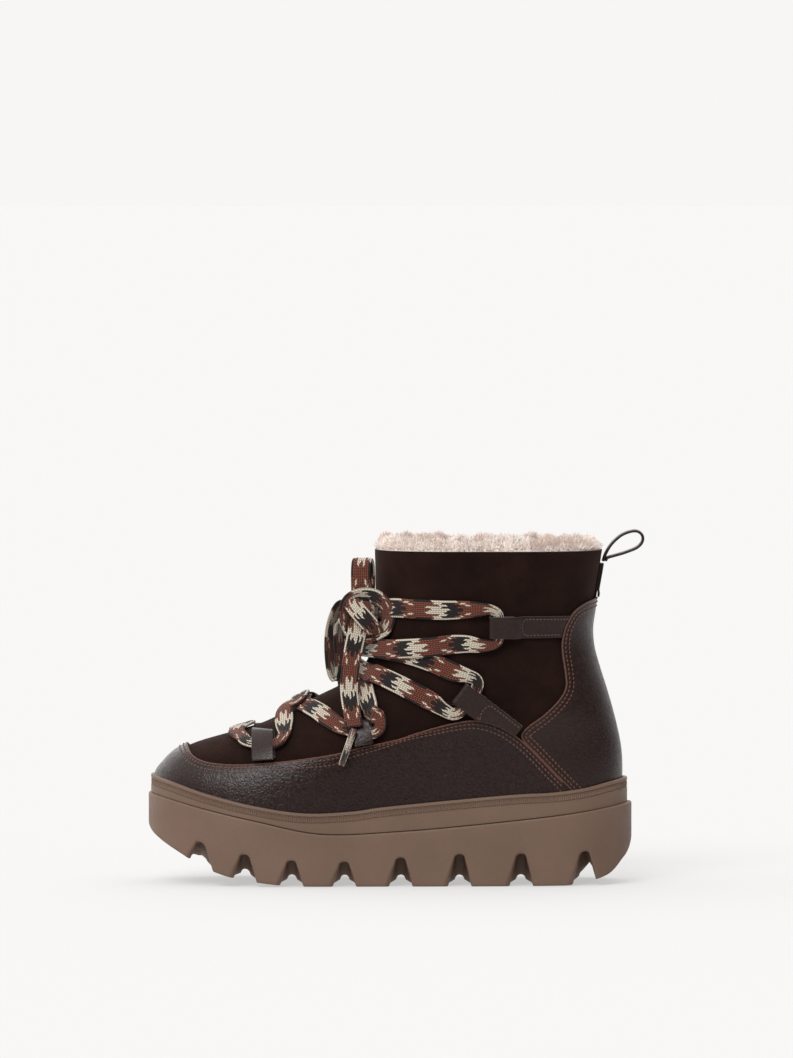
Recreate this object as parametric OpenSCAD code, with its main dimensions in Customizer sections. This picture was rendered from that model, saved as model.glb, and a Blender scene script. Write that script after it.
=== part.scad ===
// Lace-up winter boot (left foot) with a lugged platform sole, shearling lining,
// leather overlays on suede, braided lace and an inside zip.
// Millimetres. Toe towards -X, outer (lateral) side towards -Y, +Z up.
// Origin: on the ground, at the centre of the boot's length and width.

/* [Upper] */
// Height of the collar edge above the ground
collar_z = 190; // [184:1:196]
// Thickness of the suede panels
suede_t = 1.4; // [1.0:0.1:1.6]
// Thickness of the leather overlays
leather_t = 1.4; // [1.0:0.1:1.6]
// Thickness of the foam insulation behind the panels
insulation_t = 2.2; // [1.8:0.1:2.6]
// Thickness of the pile lining
lining_t = 2.0; // [1.5:0.1:2.5]
// Height of the pile that stands up over the collar edge
fur_rise = 11; // [8:1:12]

/* [Sole] */
// Width that the midsole stands proud of the upper
welt_w = 2.4; // [2:0.1:3]
// Extra width of the outsole over the midsole
outsole_step = 1.4; // [0.6:0.1:2]
// Height of the tread grooves
groove_h = 17; // [12:1:19]
// Width of a tread groove at the ground
groove_w = 13; // [10:0.5:15]
// Thickness of the insole board
board_t = 2; // [1.5:0.1:2.5]
// Thickness of the footbed
footbed_t = 4; // [3:0.5:6]

/* [Zip] */
// Distance of the zip line behind the boot's centre
zip_x = 42; // [40:1:46]
// Height of the lower end of the zip chain
zip_low_z = 96; // [94:1:100]
// Distance between zip teeth
tooth_pitch = 2.6; // [2.4:0.1:3]

/* [Lace] */
// Width of the flat lace
lace_w = 11; // [9:0.5:12]
// Thickness of the flat lace
lace_t = 2.2; // [1.8:0.1:2.4]
// Width of the leather lace loops
loop_w = 12; // [11:0.5:14]

/* [Hidden] */

LATERAL = -1;
MEDIAL = 1;
gap = 0.3;                 // air between two stacked layers
lap_off = suede_t + 0.4;   // height over the body where a leather overlay starts
leather_off = lap_off + leather_t;
shell_off = -0.6;          // outside of the stiffeners
shell_t = 0.7;
foam_off = -2.2;           // outside of the foam
lining_off = foam_off - insulation_t - gap;
pile_off = lining_off - lining_t;

// Outline of the padded body inside the panels, seen from the side.
// Front line, from inside the sole cup over the toe and instep to the collar: [z, x].
FRONT = [
    [30, -128], [44, -133.5], [55, -135.6], [61.5, -135.2], [66.7, -131.2], [71.6, -126.4],
    [74.2, -122.5], [76.6, -117.5], [79.2, -110.5], [82.1, -100.5], [84.8, -91], [89.2, -76.5],
    [96.5, -61], [105.9, -42], [111, -31.5], [117, -22.5], [125, -16], [135, -12.6],
    [150, -11], [170, -10.6], [190, -11]
];
// Back line, from the heel to the collar: [z, x].
BACK = [
    [30, 120], [44, 124.4], [58, 125.8], [70, 125.8], [80, 124.7], [95, 121.3], [110, 117],
    [122, 113.2], [134, 110], [145, 109.2], [155, 110.5], [165, 112], [178, 114.3], [190, 116.2]
];
// Half width of the foot along the boot: [x, half width].
FOOT_WIDTH = [
    [-140, 41.5], [-110, 43.5], [-75, 44.7], [-45, 43.7], [-15, 40.5], [15, 38.5], [42, 38], [80, 37],
    [130, 36]
];
// Feather line, where the upper turns onto the insole board: [x, z].
FEATHER = [[-140, 49], [-118, 42], [-92, 35.5], [-55, 31], [-10, 32.5], [40, 38], [90, 43], [130, 46]];
// Top edge of the midsole wall: [x, z].
WALL_TOP = [
    [-145, 62.5], [-128, 58], [-109, 52.2], [-81, 45.5], [-52, 41.5], [-24, 42.5], [-10, 44.5],
    [40, 49.4], [69, 51.9], [89, 52.9], [108, 55.2], [122, 58.2], [135, 60.5]
];
// Joint between midsole and outsole: [x, z].
SOLE_LINE = [
    [-145, 51.5], [-134, 49.5], [-108, 43], [-81, 37], [-43, 29.6], [2, 30.9], [49, 35], [99, 40.6],
    [138, 46.5]
];
// Underside of the outsole, seen from the side, with toe spring and heel bevel: [x, z].
TREAD = [
    [-145, 40], [-141, 31], [-135, 25.5], [-123, 18], [-110, 10.5], [-95, 5], [-75, 1.5], [-56, 0],
    [95, 0], [108, 1.8], [121, 6], [128, 13], [134, 23], [136, 40]
];
GROOVES = [-111, -86, -59.5, -29.5, 2.5, 36, 71, 107];   // middle of each tread groove along X

// Upper edge of the leather mudguard, outer side and inner side: [x, z].
MUDGUARD_OUTER = [
    [-119, 76], [-116, 71.5], [-111, 68.6], [-104, 67.2], [-90, 66.8], [-68, 68.8], [-52, 71.1],
    [-33, 74.5], [-19, 78.2], [2, 83], [10, 85.9], [30, 91.7], [42.5, 93.8], [50, 93.2], [59, 90.2],
    [69, 83.9], [79, 74.5], [89, 63.7], [99, 53.2], [106, 46]
];
MUDGUARD_INNER = [
    [-119, 76], [-116, 71.5], [-111, 68.6], [-104, 67.2], [-90, 66.8], [-68, 68.5], [-52, 70.5],
    [-33, 73], [-19, 75.5], [2, 79], [20, 81.5], [35, 82.5], [50, 82], [60, 80], [70, 75.5], [79, 69],
    [89, 60], [99, 50.5], [104, 46]
];
// Joint between vamp and quarters, hidden under the lace: [x, z].
SEAM = [
    [-24, 117], [-10, 118.5], [10, 112], [30, 103.5], [45, 97], [60, 87], [75, 66], [86, 46], [90, 40]
];
SEAM_INNER = [
    [-24, 117], [-10, 118.5], [10, 108], [25, 95], [40, 85], [60, 76], [75, 60], [86, 46], [90, 40]
];
// Front edge of the heel counter, outer side: [z, x].
COUNTER_EDGE = [
    [40, 112.6], [53.4, 99.7], [63.7, 89.9], [74.5, 80], [84.5, 71.3], [90, 74.5], [97.2, 84],
    [105, 91.6], [112, 95.2], [119, 95], [135, 92.8], [145, 93.9], [151, 96.3], [156, 99.6],
    [159.4, 104], [161.4, 108], [162.8, 112]
];
// Front edge of the heel counter, inner side: [z, x].
COUNTER_EDGE_INNER = [
    [40, 110.4], [50.5, 99.8], [60, 89.8], [69, 79.8], [76, 71.1], [82, 73.5], [92, 82], [103, 90],
    [112, 95.2], [119, 95], [135, 92.8], [145, 93.9], [151, 96.3], [156, 99.6], [159.4, 104],
    [161.4, 108], [162.8, 112]
];

// ---- interpolation ----
function span_of(k, pts, i = 0) = i >= len(pts) - 2 || k < pts[i + 1][0] ? i : span_of(k, pts, i + 1);
function tangent_of(pts, i) =
    let(a = max(i - 1, 0), b = min(i + 1, len(pts) - 1))
    (pts[b][1] - pts[a][1]) / (pts[b][0] - pts[a][0]);
// Smooth curve through pts, held level past both ends.
function curve(k, pts) =
    let(kk = min(max(k, pts[0][0]), pts[len(pts) - 1][0]), i = span_of(kk, pts),
        h = pts[i + 1][0] - pts[i][0], u = (kk - pts[i][0]) / h, v = 1 - u)
    pts[i][1] * v * v * (1 + 2 * u) + pts[i + 1][1] * u * u * (1 + 2 * v)
    + h * u * v * (tangent_of(pts, i) * v - tangent_of(pts, i + 1) * u);
function mix(a, b, u) = a + (b - a) * u;
function smooth(a, b, k) = let(u = min(max((k - a) / (b - a), 0), 1)) u * u * (3 - 2 * u);
function unit(v) = v / norm(v);

// ---- shape of the padded body ----
front_round = 46;   // depth over which the front rounds off
back_round = 46;    // depth over which the heel and the back of the shaft round off
round_power = 2.3;
RIDGE = concat([for (z = [58 : 0.5 : 148]) [curve(z, FRONT), z]], [[-10.9, 1000]]);

function rounded(u) = u >= 1 ? 1 : pow(1 - pow(1 - max(u, 0), round_power), 1 / round_power);
function ridge_depth(x, z) =
    let(dx = max(x - curve(z, FRONT), 0), dz = max(lookup(x, RIDGE) - z, 0.01))
    dx * dz / max(sqrt(dx * dx + dz * dz), 1e-6);
function shaft_half(z) = 38 + 6 * (z - 86) / 104;
function toe_in(z, x) = 1 - 0.04 * pow(max(0, (curve(x, FEATHER) + 12 - z) / 12), 2);
function half_width(x, z) =
    mix(curve(x, FOOT_WIDTH), shaft_half(z), smooth(75, 100, z)) * toe_in(z, x)
    * rounded(ridge_depth(x, z) / front_round) * rounded((curve(z, BACK) - x) / back_round);
function mid_y(x) = x < -40 ? 6 * pow((-40 - x) / 96, 2) : 0;

// Body point at turn a (0 front, 180 back, positive on the inner side) and height z.
function x_at(a, z) = let(f = curve(z, FRONT), b = curve(z, BACK)) (f + b) / 2 - (b - f) / 2 * cos(a);
function turn_at(x, z) =
    let(f = curve(z, FRONT), b = curve(z, BACK)) acos(min(max(((f + b) / 2 - x) / ((b - f) / 2), -1), 1));
function body(a, z) = let(x = x_at(a, z)) [x, mid_y(x) + sign(sin(a)) * half_width(x, z), z];
function body_normal(a, z) =
    unit(cross(body(a, z + 0.8) - body(a, z - 0.8), body(a + 1.5, z) - body(a - 1.5, z)));
// Point at height off above the body.
function skin(a, z, off) = body(a, z) + off * body_normal(a, z);
// The same by side-view position, away from the front and back lines.
function side_point(x, z, side, off) = skin(side * turn_at(x, z), z, off);
function side_normal(x, z, side) = body_normal(side * turn_at(x, z), z);

// Height where a column meets an edge given as [x, z] points; turn_of gives its turn at a height.
function meet(turn_of, edge, lo = 28, hi = 140, n = 14) =
    let(m = (lo + hi) / 2)
    n == 0 ? m
    : m < curve(x_at(turn_of(m), m), edge) ? meet(turn_of, edge, m, hi, n - 1)
    : meet(turn_of, edge, lo, m, n - 1);
function shares(n, from = 0, to = 1) = [for (i = [0 : n]) mix(from, to, i / n)];

// ---- solids from grids of points ----
function flipped(faces) = [for (f = faces) [f[2], f[1], f[0]]];
function quad(a, b, c, d) = [[a, b, c], [a, c, d]];

// Closed solid between two grids with the same rows and columns; closed_loop joins the last
// column to the first.
module slab(inner, outer, closed_loop = false) {
    rows = len(inner);
    cols = len(inner[0]);
    n = rows * cols;
    last = closed_loop ? cols - 1 : cols - 2;
    top = (rows - 1) * cols;
    skins = [for (r = [0 : rows - 2]) for (c = [0 : last])
        let(i = r * cols + c, k = r * cols + (c + 1) % cols)
        each concat(quad(i, k, k + cols, i + cols), quad(n + i, n + i + cols, n + k + cols, n + k))];
    rims = [for (c = [0 : last]) let(k = (c + 1) % cols)
        each concat(quad(c, n + c, n + k, k), quad(top + c, top + k, n + top + k, n + top + c))];
    sides = closed_loop ? [] : [for (r = [0 : rows - 2]) let(i = r * cols, j = i + cols - 1)
        each concat(quad(i, i + cols, n + i + cols, n + i), quad(j, n + j, n + j + cols, j + cols))];
    points = [for (grid = [inner, outer]) for (row = grid) for (p = row) p];
    polyhedron(points, flipped(concat(skins, rims, sides)), convexity = 8);
}

// Panel lying over the body from height from_off to height to_off. Its columns follow
// turn_of(z, share across) and run from low_of(column) up to high_of(column).
module panel(cols, row_shares, turn_of, low_of, high_of, from_off, to_off, closed_loop = false) {
    last = closed_loop ? cols - 1 : cols;
    lows = [for (c = [0 : last]) low_of(c / cols)];
    highs = [for (c = [0 : last]) high_of(c / cols)];
    function grid(off) = [for (u = row_shares) [for (c = [0 : last])
        let(z = mix(lows[c], highs[c], u)) skin(turn_of(z, c / cols), z, off)]];
    slab(grid(from_off), grid(to_off), closed_loop);
}

// Rounded flat band swept along pts; wide[i] is the direction of its width at point i, and
// widths its width, one number or one for each point.
module band(pts, wide, widths, t) {
    n = len(pts);
    k = 8;
    b = 0.3 * t;
    section = [[1, 0, -b], [1, 0, b], [1, -b, t / 2], [-1, b, t / 2],
               [-1, 0, b], [-1, 0, -b], [-1, b, -t / 2], [1, -b, -t / 2]];
    rings = [for (i = [0 : n - 1])
        let(d = unit(pts[min(i + 1, n - 1)] - pts[max(i - 1, 0)]), u = unit(wide[i] - d * (wide[i] * d)),
            v = cross(d, u), w = is_list(widths) ? widths[i] : widths)
        each [for (q = section) pts[i] + u * (q[0] * w / 2 + q[1]) + v * q[2]]];
    walls = [for (i = [0 : n - 2]) for (j = [0 : k - 1])
        let(a = i * k + j, b = i * k + (j + 1) % k) each quad(a, b, b + k, a + k)];
    ends = [for (j = [1 : k - 2]) each [[0, j + 1, j], [(n - 1) * k, (n - 1) * k + j, (n - 1) * k + j + 1]]];
    polyhedron(rings, flipped(concat(walls, ends)), convexity = 8);
}

// ---- sole ----
plan_z = 50;     // height at which the upper's outline sets the sole's outline
plan_n = 56;
heel_stretch = 2.2;
function plan_point(a, off) =
    let(p = body(a, plan_z), d = body(a + 1, plan_z) - body(a - 1, plan_z), n = unit([d[1], -d[0]]))
    [p[0], p[1]] - off * n;
// Outline of the upper in plan, grown by off and stretched back at the heel.
function plan(off, heel = 0) = [for (i = [0 : plan_n - 1])
    let(p = plan_point(i * 360 / plan_n, off)) [p[0] + heel * smooth(60, 125, p[0]), p[1]]];

// Everything between two side-view lines, right through the boot.
module side_block(low, high, step = 6) {
    xs = [for (x = [-150 : step : 150]) x];
    lower = [for (x = xs) [x, curve(x, low)]];
    upper = [for (i = [len(xs) - 1 : -1 : 0]) [xs[i], curve(xs[i], high)]];
    rotate([90, 0, 0]) linear_extrude(160, center = true) polygon(concat(lower, upper));
}
module prism(off, heel = 0) { linear_extrude(75) polygon(plan(off, heel)); }
function raised(line, dz) = [for (p = line) [p[0], p[1] + dz]];
SKY = [[-150, 74], [150, 74]];

shank_l = 96;
shank_w = 16;
cup_room = 1.2;      // room between the upper and the midsole's cup
cup_wall = 1;        // thickness of the cup where it is let into the outsole
core_depth = 9;      // how far the midsole reaches below the insole board
groove_tip = 2.6;    // radius of the rounded top of a groove
scoop = 27;          // how far a groove runs in from the side of the sole

module groove_section(top_h) {
    tip_z = top_h - groove_tip;
    half = groove_w / 2;
    polygon([[-half, -14], [half, -14], [half, 0.5], [groove_tip * 0.98, tip_z + 0.5],
             [-groove_tip * 0.98, tip_z + 0.5], [-half, 0.5]]);
    translate([0, tip_z]) circle(r = groove_tip, $fn = 20);
}
module groove(x) {
    for (side = [LATERAL, MEDIAL])
        translate([x, side * (62 - scoop / 2), curve(x, TREAD)]) rotate([90, 0, 0])
            linear_extrude(scoop + 24, center = true) groove_section(groove_h);
    translate([x, 0, curve(x, TREAD)]) rotate([90, 0, 0])
        linear_extrude(90, center = true) groove_section(5);
}

// The midsole's core, let into the outsole.
module core(grow, top) {
    intersection() {
        prism(leather_off + cup_room + cup_wall + grow);
        side_block(raised(FEATHER, -board_t - core_depth - grow), top);
    }
}

module outsole() {
    color("#6b5648") difference() {
        intersection() {
            prism(leather_off + welt_w + outsole_step, heel_stretch);
            side_block(TREAD, raised(SOLE_LINE, -0.15), 5);
        }
        core(0.15, SKY);
        for (x = GROOVES) groove(x);
    }
}

module midsole() {
    color("#735d4e") difference() {
        union() {
            intersection() {
                prism(leather_off + welt_w, heel_stretch / 2);
                side_block(SOLE_LINE, WALL_TOP, 5);
            }
            core(0, WALL_TOP);
        }
        intersection() {
            prism(leather_off + cup_room);
            side_block(raised(FEATHER, -board_t - gap), SKY);
        }
        shank_bar(0.3);
    }
}

module shank_bar(grow) {
    intersection() {
        translate([-10 - grow, -shank_w / 2 - grow, 0]) cube([shank_l + 2 * grow, shank_w + 2 * grow, 60]);
        side_block(raised(FEATHER, -board_t - 2 - grow), raised(FEATHER, -board_t - gap - 0.2 + grow));
    }
}
module shank() {
    color("silver") shank_bar(0);
}

module insole_board() {
    color("#8a6f52") intersection() {
        prism(-1);
        side_block(raised(FEATHER, -board_t), raised(FEATHER, -0.2));
    }
}

module footbed() {
    color("#cbbcae") intersection() {
        prism(pile_off - 4.4);
        side_block(FEATHER, raised(FEATHER, footbed_t));
    }
}

// ---- soft body: lining, foam and stiffeners ----
upper_low = raised(FEATHER, 1.7);
slit_half = 6.5;   // half width of the slit behind the zip
// The lining and foam start behind the zip, go round the heel, the outer side and the toe,
// and end in front of the zip. Below the zip their two ends meet in a seam.
function slit(z) = mix(0.2, slit_half, smooth(zip_low_z - 8, zip_low_z - 1, z));
wrap_turn = function(z, u)
    mix(turn_at(zip_x + slit(z), z), 360 + turn_at(zip_x - slit(z), z), u);
module wrap(from_off, to_off) {
    panel(34, concat(shares(11, 0, 0.55), [0.7, 0.85, 1]), wrap_turn,
        function(u) meet(function(z) wrap_turn(z, u), upper_low), function(u) collar_z - 3.6,
        from_off, to_off);
}

module lining() {
    color("#cdbfae") wrap(pile_off, lining_off);
}
module insulation() {
    color("#e6e0d2") wrap(lining_off + gap, foam_off);
}

// Pile trim along the collar; it covers the lining's edge and stands up over the suede's.
module collar_fur() {
    rise = [[-2.4, pile_off, foam_off + 0.6], [0.5, pile_off - 0.6, -0.2],
            [fur_rise * 0.6, pile_off - 0.4, 0.2], [fur_rise, pile_off + 1.4, -1.8]];
    function gap_of(z) = z > collar_z ? 0.2 : slit_half;
    function turn_of(z, u) = mix(turn_at(zip_x + gap_of(z), z), 360 + turn_at(zip_x - gap_of(z), z), u);
    function grid(k) = [for (r = rise) let(z = collar_z + r[0])
        [for (u = shares(44)) skin(turn_of(z, u), z, r[k])]];
    color("#c9b79f") slab(grid(1), grid(2));
}

PUFF_EDGE = [[-112, 86], [-106, 74], [-100, 46], [-98, 40]];
module toe_puff() {
    end = turn_at(-101, 50);
    turn_of = function(z, u) mix(-end, end, u);
    color("#b9a98c") panel(18, shares(6), turn_of,
        function(u) meet(function(z) turn_of(z, u), upper_low),
        function(u) meet(function(z) turn_of(z, u), PUFF_EDGE), shell_off - shell_t, shell_off);
}

STIFFENER_EDGE = [[46, 72], [80, 80], [128, 97]];
module heel_stiffener() {
    end_turn = function(z) turn_at(curve(z, STIFFENER_EDGE), z);
    color("#b9a98c") panel(16, shares(7), function(z, u) mix(end_turn(z), 360 - end_turn(z), u),
        function(u) 47.5, function(u) 128, shell_off - shell_t, shell_off);
}

// ---- suede and leather ----
foot_cols = 56;
guard_end = turn_at(100, 48);
guard_turn = function(z, u) mix(-guard_end, guard_end, u);
function guard_edge(u) = u < 0.5 ? MUDGUARD_OUTER : MUDGUARD_INNER;
guard_low = function(u) meet(function(z) guard_turn(z, u), upper_low);
guard_high = function(u) meet(function(z) guard_turn(z, u), guard_edge(u));
guard_rows = 9;

module mudguard() {
    color("#3a2d2b")
        panel(foot_cols, shares(guard_rows), guard_turn, guard_low, guard_high, lap_off, leather_off);
}

// The vamp shares the mudguard's columns and rows, then goes on up to the seam.
module vamp() {
    first = 4;
    cols = [for (c = [first : foot_cols - first]) c / foot_cols];
    function heights(u) =
        let(low = guard_low(u), mid = guard_high(u),
            high = meet(function(z) guard_turn(z, u), u < 0.5 ? SEAM : SEAM_INNER))
        mid < high - 3
            ? concat([for (s = shares(guard_rows)) mix(low, mid, s)],
                     [for (s = shares(7, 1 / 7)) mix(mid, high, s)])
            : [for (s = shares(guard_rows + 8)) mix(low, high, s)];
    columns = [for (u = cols) heights(u)];
    function grid(off) = [for (r = [0 : len(columns[0]) - 1])
        [for (c = [0 : len(cols) - 1]) skin(guard_turn(0, cols[c]), columns[c][r], off)]];
    color("#2b1d19") slab(grid(0), grid(suede_t));
}

function shaft_low(seam) =
    concat(raised([for (p = seam) if (p[0] < 80) p], 0.6), [[85, 48.6], [90, 46], [100, 45.8], [130, 48]]);
SHAFT_LOW_OUTER = shaft_low(SEAM);
SHAFT_LOW_INNER = shaft_low(SEAM_INNER);
opening_half = 6;   // half width of the opening in the suede over the zip
function opening(z) = mix(0.2, opening_half, smooth(zip_low_z - 5, zip_low_z - 2, z));
seam_turn = 0.25;   // half the back seam, as a turn
panel_rows = [for (i = [0 : 15]) pow(i / 15, 1.2)];

module shaft_front() {
    // Columns are closer together at the back and at the front.
    turn_of = function(z, u)
        mix(180 + seam_turn, 360 + turn_at(zip_x - opening(z), z), u - 0.05 * sin(360 * u));
    color("#2e1f1a") panel(46, panel_rows, turn_of,
        function(u) meet(function(z) turn_of(z, u), u < 0.75 ? SHAFT_LOW_OUTER : SHAFT_LOW_INNER),
        function(u) collar_z, 0, suede_t);
}

module shaft_rear() {
    turn_of = function(z, u) mix(turn_at(zip_x + opening(z), z), 180 - seam_turn, u);
    color("#2e1f1a") panel(17, panel_rows, turn_of,
        function(u) meet(function(z) turn_of(z, u), SHAFT_LOW_INNER), function(u) collar_z, 0, suede_t);
}

counter_rows = [47.5, 53, 60, 67, 75, 84, 90, 97, 105, 112, 119, 127, 135, 143, 150, 156, 160, 161.5, 162.6];
module heel_counter() {
    low = counter_rows[0];
    high = counter_rows[len(counter_rows) - 1];
    turn_of = function(z, u)
        mix(turn_at(curve(z, COUNTER_EDGE_INNER), z), 360 - turn_at(curve(z, COUNTER_EDGE), z), u);
    color("#3a2d2b") panel(30, [for (z = counter_rows) (z - low) / (high - low)], turn_of,
        function(u) low, function(u) high, lap_off + 0.15, leather_off + 0.15);
}

// ---- leather straps and loops that hold the lace ----
strap_t = 1.3;
lace_room = lace_t + 1.1;
fold_r = (strap_t + lace_room) / 2;
strap_low = lap_off + 0.15 + strap_t / 2;     // height of a strap's middle where it lies on the suede
strap_high = strap_low + 2 * fold_r;   // and where it passes over the lace

// Strap folded round the lace. It starts under the lace, turns back at tip and ends at end_of(v),
// the distance from the tip at width v; dir is its direction away from the tip, as [x, z].
module folded_strap(side, tip, dir, w, reach, end_of, ramp = 6) {
    perp = [-dir[1], dir[0]];
    bend = [for (turn = [0 : 36 : 180])
        [fold_r - fold_r * sin(turn), strap_low + fold_r * (1 - cos(turn)), -sin(turn), -cos(turn)]];
    path = concat([for (s = [1, 0.7, 0.4]) [reach * s, strap_low, 0, -1]], bend,
        [for (s = [0.4, 0.7, 1]) [reach * s, strap_high, 0, 1]]);
    function place(d, v, h) =
        side_point(tip[0] + dir[0] * d + perp[0] * v, tip[1] + dir[1] * d + perp[1] * v, side, h);
    function grid(k) = concat(
        [for (p = path) [for (v = shares(2, -w / 2, w / 2)) place(p[0] + k * p[2], v, p[1] + k * p[3])]],
        ramp == 0 ? [] : [for (s = [0.5, 1]) [for (v = shares(2, -w / 2, w / 2))
            place(reach + ramp * s, v, mix(strap_high, strap_low, s) + k)]],
        [for (s = ramp == 0 ? [1] : [0.25, 0.5, 0.75, 1]) [for (v = shares(2, -w / 2, w / 2))
            place(mix(reach + ramp, end_of(v), s), v, (ramp == 0 ? strap_high : strap_low) + k)]]
    );
    color("#35292a") if (side == LATERAL) slab(grid(-strap_t / 2), grid(strap_t / 2));
    else slab(grid(strap_t / 2), grid(-strap_t / 2));
}

upper_tip = [53, 147.2];
diagonal_tip = [35.7, 110.2];
diagonal_dir = [0.8, -0.6];
// How far along the diagonal strap the mudguard's edge lies, at width v.
function diagonal_end(v, d = 40) =
    let(x = diagonal_tip[0] + 0.8 * d + 0.6 * v, z = diagonal_tip[1] - 0.6 * d + 0.8 * v)
    z > curve(x, MUDGUARD_OUTER) + 0.8 || d < 16 ? d : diagonal_end(v, d - 0.5);

module strap_upper_lateral() {
    folded_strap(LATERAL, upper_tip, [1, 0], 12.5, 14,
        function(v) curve(upper_tip[1] + v, COUNTER_EDGE) - upper_tip[0] - 0.8);
}
module strap_diagonal_lateral() {
    folded_strap(LATERAL, diagonal_tip, diagonal_dir, 13.5, 14, function(v) diagonal_end(v), 0);
}
module loop_toe(side) {
    folded_strap(side, [-74.5, 83.5], [0, -1], loop_w, 12,
        function(v) 83.5 - 0.7 - curve(-74.5 + v, side < 0 ? MUDGUARD_OUTER : MUDGUARD_INNER), 0);
}
module loop_mid(side) {
    folded_strap(side, [-18.5, 92.5], [0, -1], 10, 12,
        function(v) 92.5 - 0.7 - curve(-18.5 + v, side < 0 ? MUDGUARD_OUTER : MUDGUARD_INNER), 0);
}
module loop_toe_lateral() { loop_toe(LATERAL); }
module loop_toe_medial() { loop_toe(MEDIAL); }
module loop_mid_lateral() { loop_mid(LATERAL); }
module loop_mid_medial() { loop_mid(MEDIAL); }
// The inner side's upper loops stop in front of the zip.
module loop_upper_medial() {
    folded_strap(MEDIAL, [11, 147], [1, 0], 12.5, 13.5, function(v) 23);
}
module loop_diagonal_medial() {
    folded_strap(MEDIAL, [1, 119.5], diagonal_dir, 13.5, 13.5, function(v) 21);
}

// ---- pull loop at the back of the collar ----
web_w = 13;
web_t = 1.1;
web_x = curve(176, BACK) + lap_off + 0.2;
hinge_z = 183.6;
function web(pts) = [for (p = pts) [p[0], 0, p[1]]];
function all_y(pts) = [for (p = pts) [0, 1, 0]];

// Two plies sewn to the shaft, from the counter up to the collar.
module pull_loop_base() {
    path = [[165.5, 0.3], [171, 0.4], [177, 0.4], [181.8, 0.4]];
    for (ply = [0, 1]) {
        line = web([for (p = path)
            [curve(p[0], BACK) + lap_off + web_t / 2 + p[1] + ply * (web_t + 0.03), p[0]]]);
        color("#35292a") band(line, all_y(line), web_w, web_t);
    }
}
// The free, drop-shaped loop.
module pull_loop() {
    line = web([
        [web_x + 2, hinge_z + 0.6], [web_x + 3.4, 188], [123.8, 193], [128.5, 197.6], [133.5, 200],
        [137.6, 200.2], [140.4, 198], [140.8, 194.5], [137.6, 191], [131, 187.6], [125.5, 185.2],
        [web_x + 4.6, hinge_z + 0.7]
    ]);
    color("#35292a") band(line, all_y(line), web_w, web_t * 1.6);
}

// ---- zip ----
tape_w = 11;
tape_t = 0.7;
channel = 1.5;      // free width between the two rows of teeth, in which the slider's post runs
tooth_w = 2.3;
tooth_t = 2.2;
tooth_n = -0.75;    // height of the teeth's middle over the body
zip_top_z = 187;
zip_slope = atan((shaft_half(190) - shaft_half(110)) / 80);
zip_len = zip_top_z - zip_low_z;
teeth_n = floor((zip_len - 5) / tooth_pitch);
// Frame on the zip line: X across, Y away from the boot, Z up the zip.
module on_zip(z) {
    translate([zip_x, shaft_half(z), z]) rotate([-zip_slope, 0, 0]) children();
}

module zip_tape(side) {
    color("#241d1b") on_zip(zip_low_z - 3)
        translate([side > 0 ? channel / 2 + 0.1 : -tape_w, tooth_n - tape_t / 2 - 0.05, 0])
            cube([tape_w - channel / 2 - 0.1, tape_t, zip_len + 3.2]);
}
module zip_tape_front() { zip_tape(-1); }
module zip_tape_rear() { zip_tape(1); }
// Each tooth is split by the tape it grips.
module zip_teeth(side) {
    color("#6f665f") on_zip(zip_low_z + 3) for (i = [0 : teeth_n - 1]) for (face = [-1, 1])
        translate([side > 0 ? channel / 2 : -channel / 2 - tooth_w,
                   tooth_n - 0.05 + (face > 0 ? tape_t / 2 + 0.02 : -tooth_t / 2),
                   (i + (side > 0 ? 0.5 : 0)) * tooth_pitch])
            cube([tooth_w, tooth_t / 2 - tape_t / 2 - 0.02, tooth_pitch * 0.55]);
}
module zip_teeth_front() { zip_teeth(-1); }
module zip_teeth_rear() { zip_teeth(1); }
module zip_top_stops() {
    color("silver") on_zip(zip_top_z - 1.6) for (side = [-1, 1])
        translate([side > 0 ? channel / 2 : -channel / 2 - tooth_w, tooth_n - 0.05 + tape_t / 2 + 0.02, 0])
            cube([tooth_w, 1, 2.4]);
}
module zip_bottom_stop() {
    color("silver") on_zip(zip_low_z)
        translate([-3, tooth_n - 0.05 + tape_t / 2 + 0.02, 0]) cube([6, 1, 2.4]);
}
// Flap on the lining that covers the slit behind the zip.
module zip_guard() {
    guard_w = 26;
    color("#8f8272") on_zip(zip_low_z - 4)
        translate([-guard_w / 2, pile_off - 1.5, 0]) cube([guard_w, 1, collar_z - 26 - zip_low_z]);
}

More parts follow.
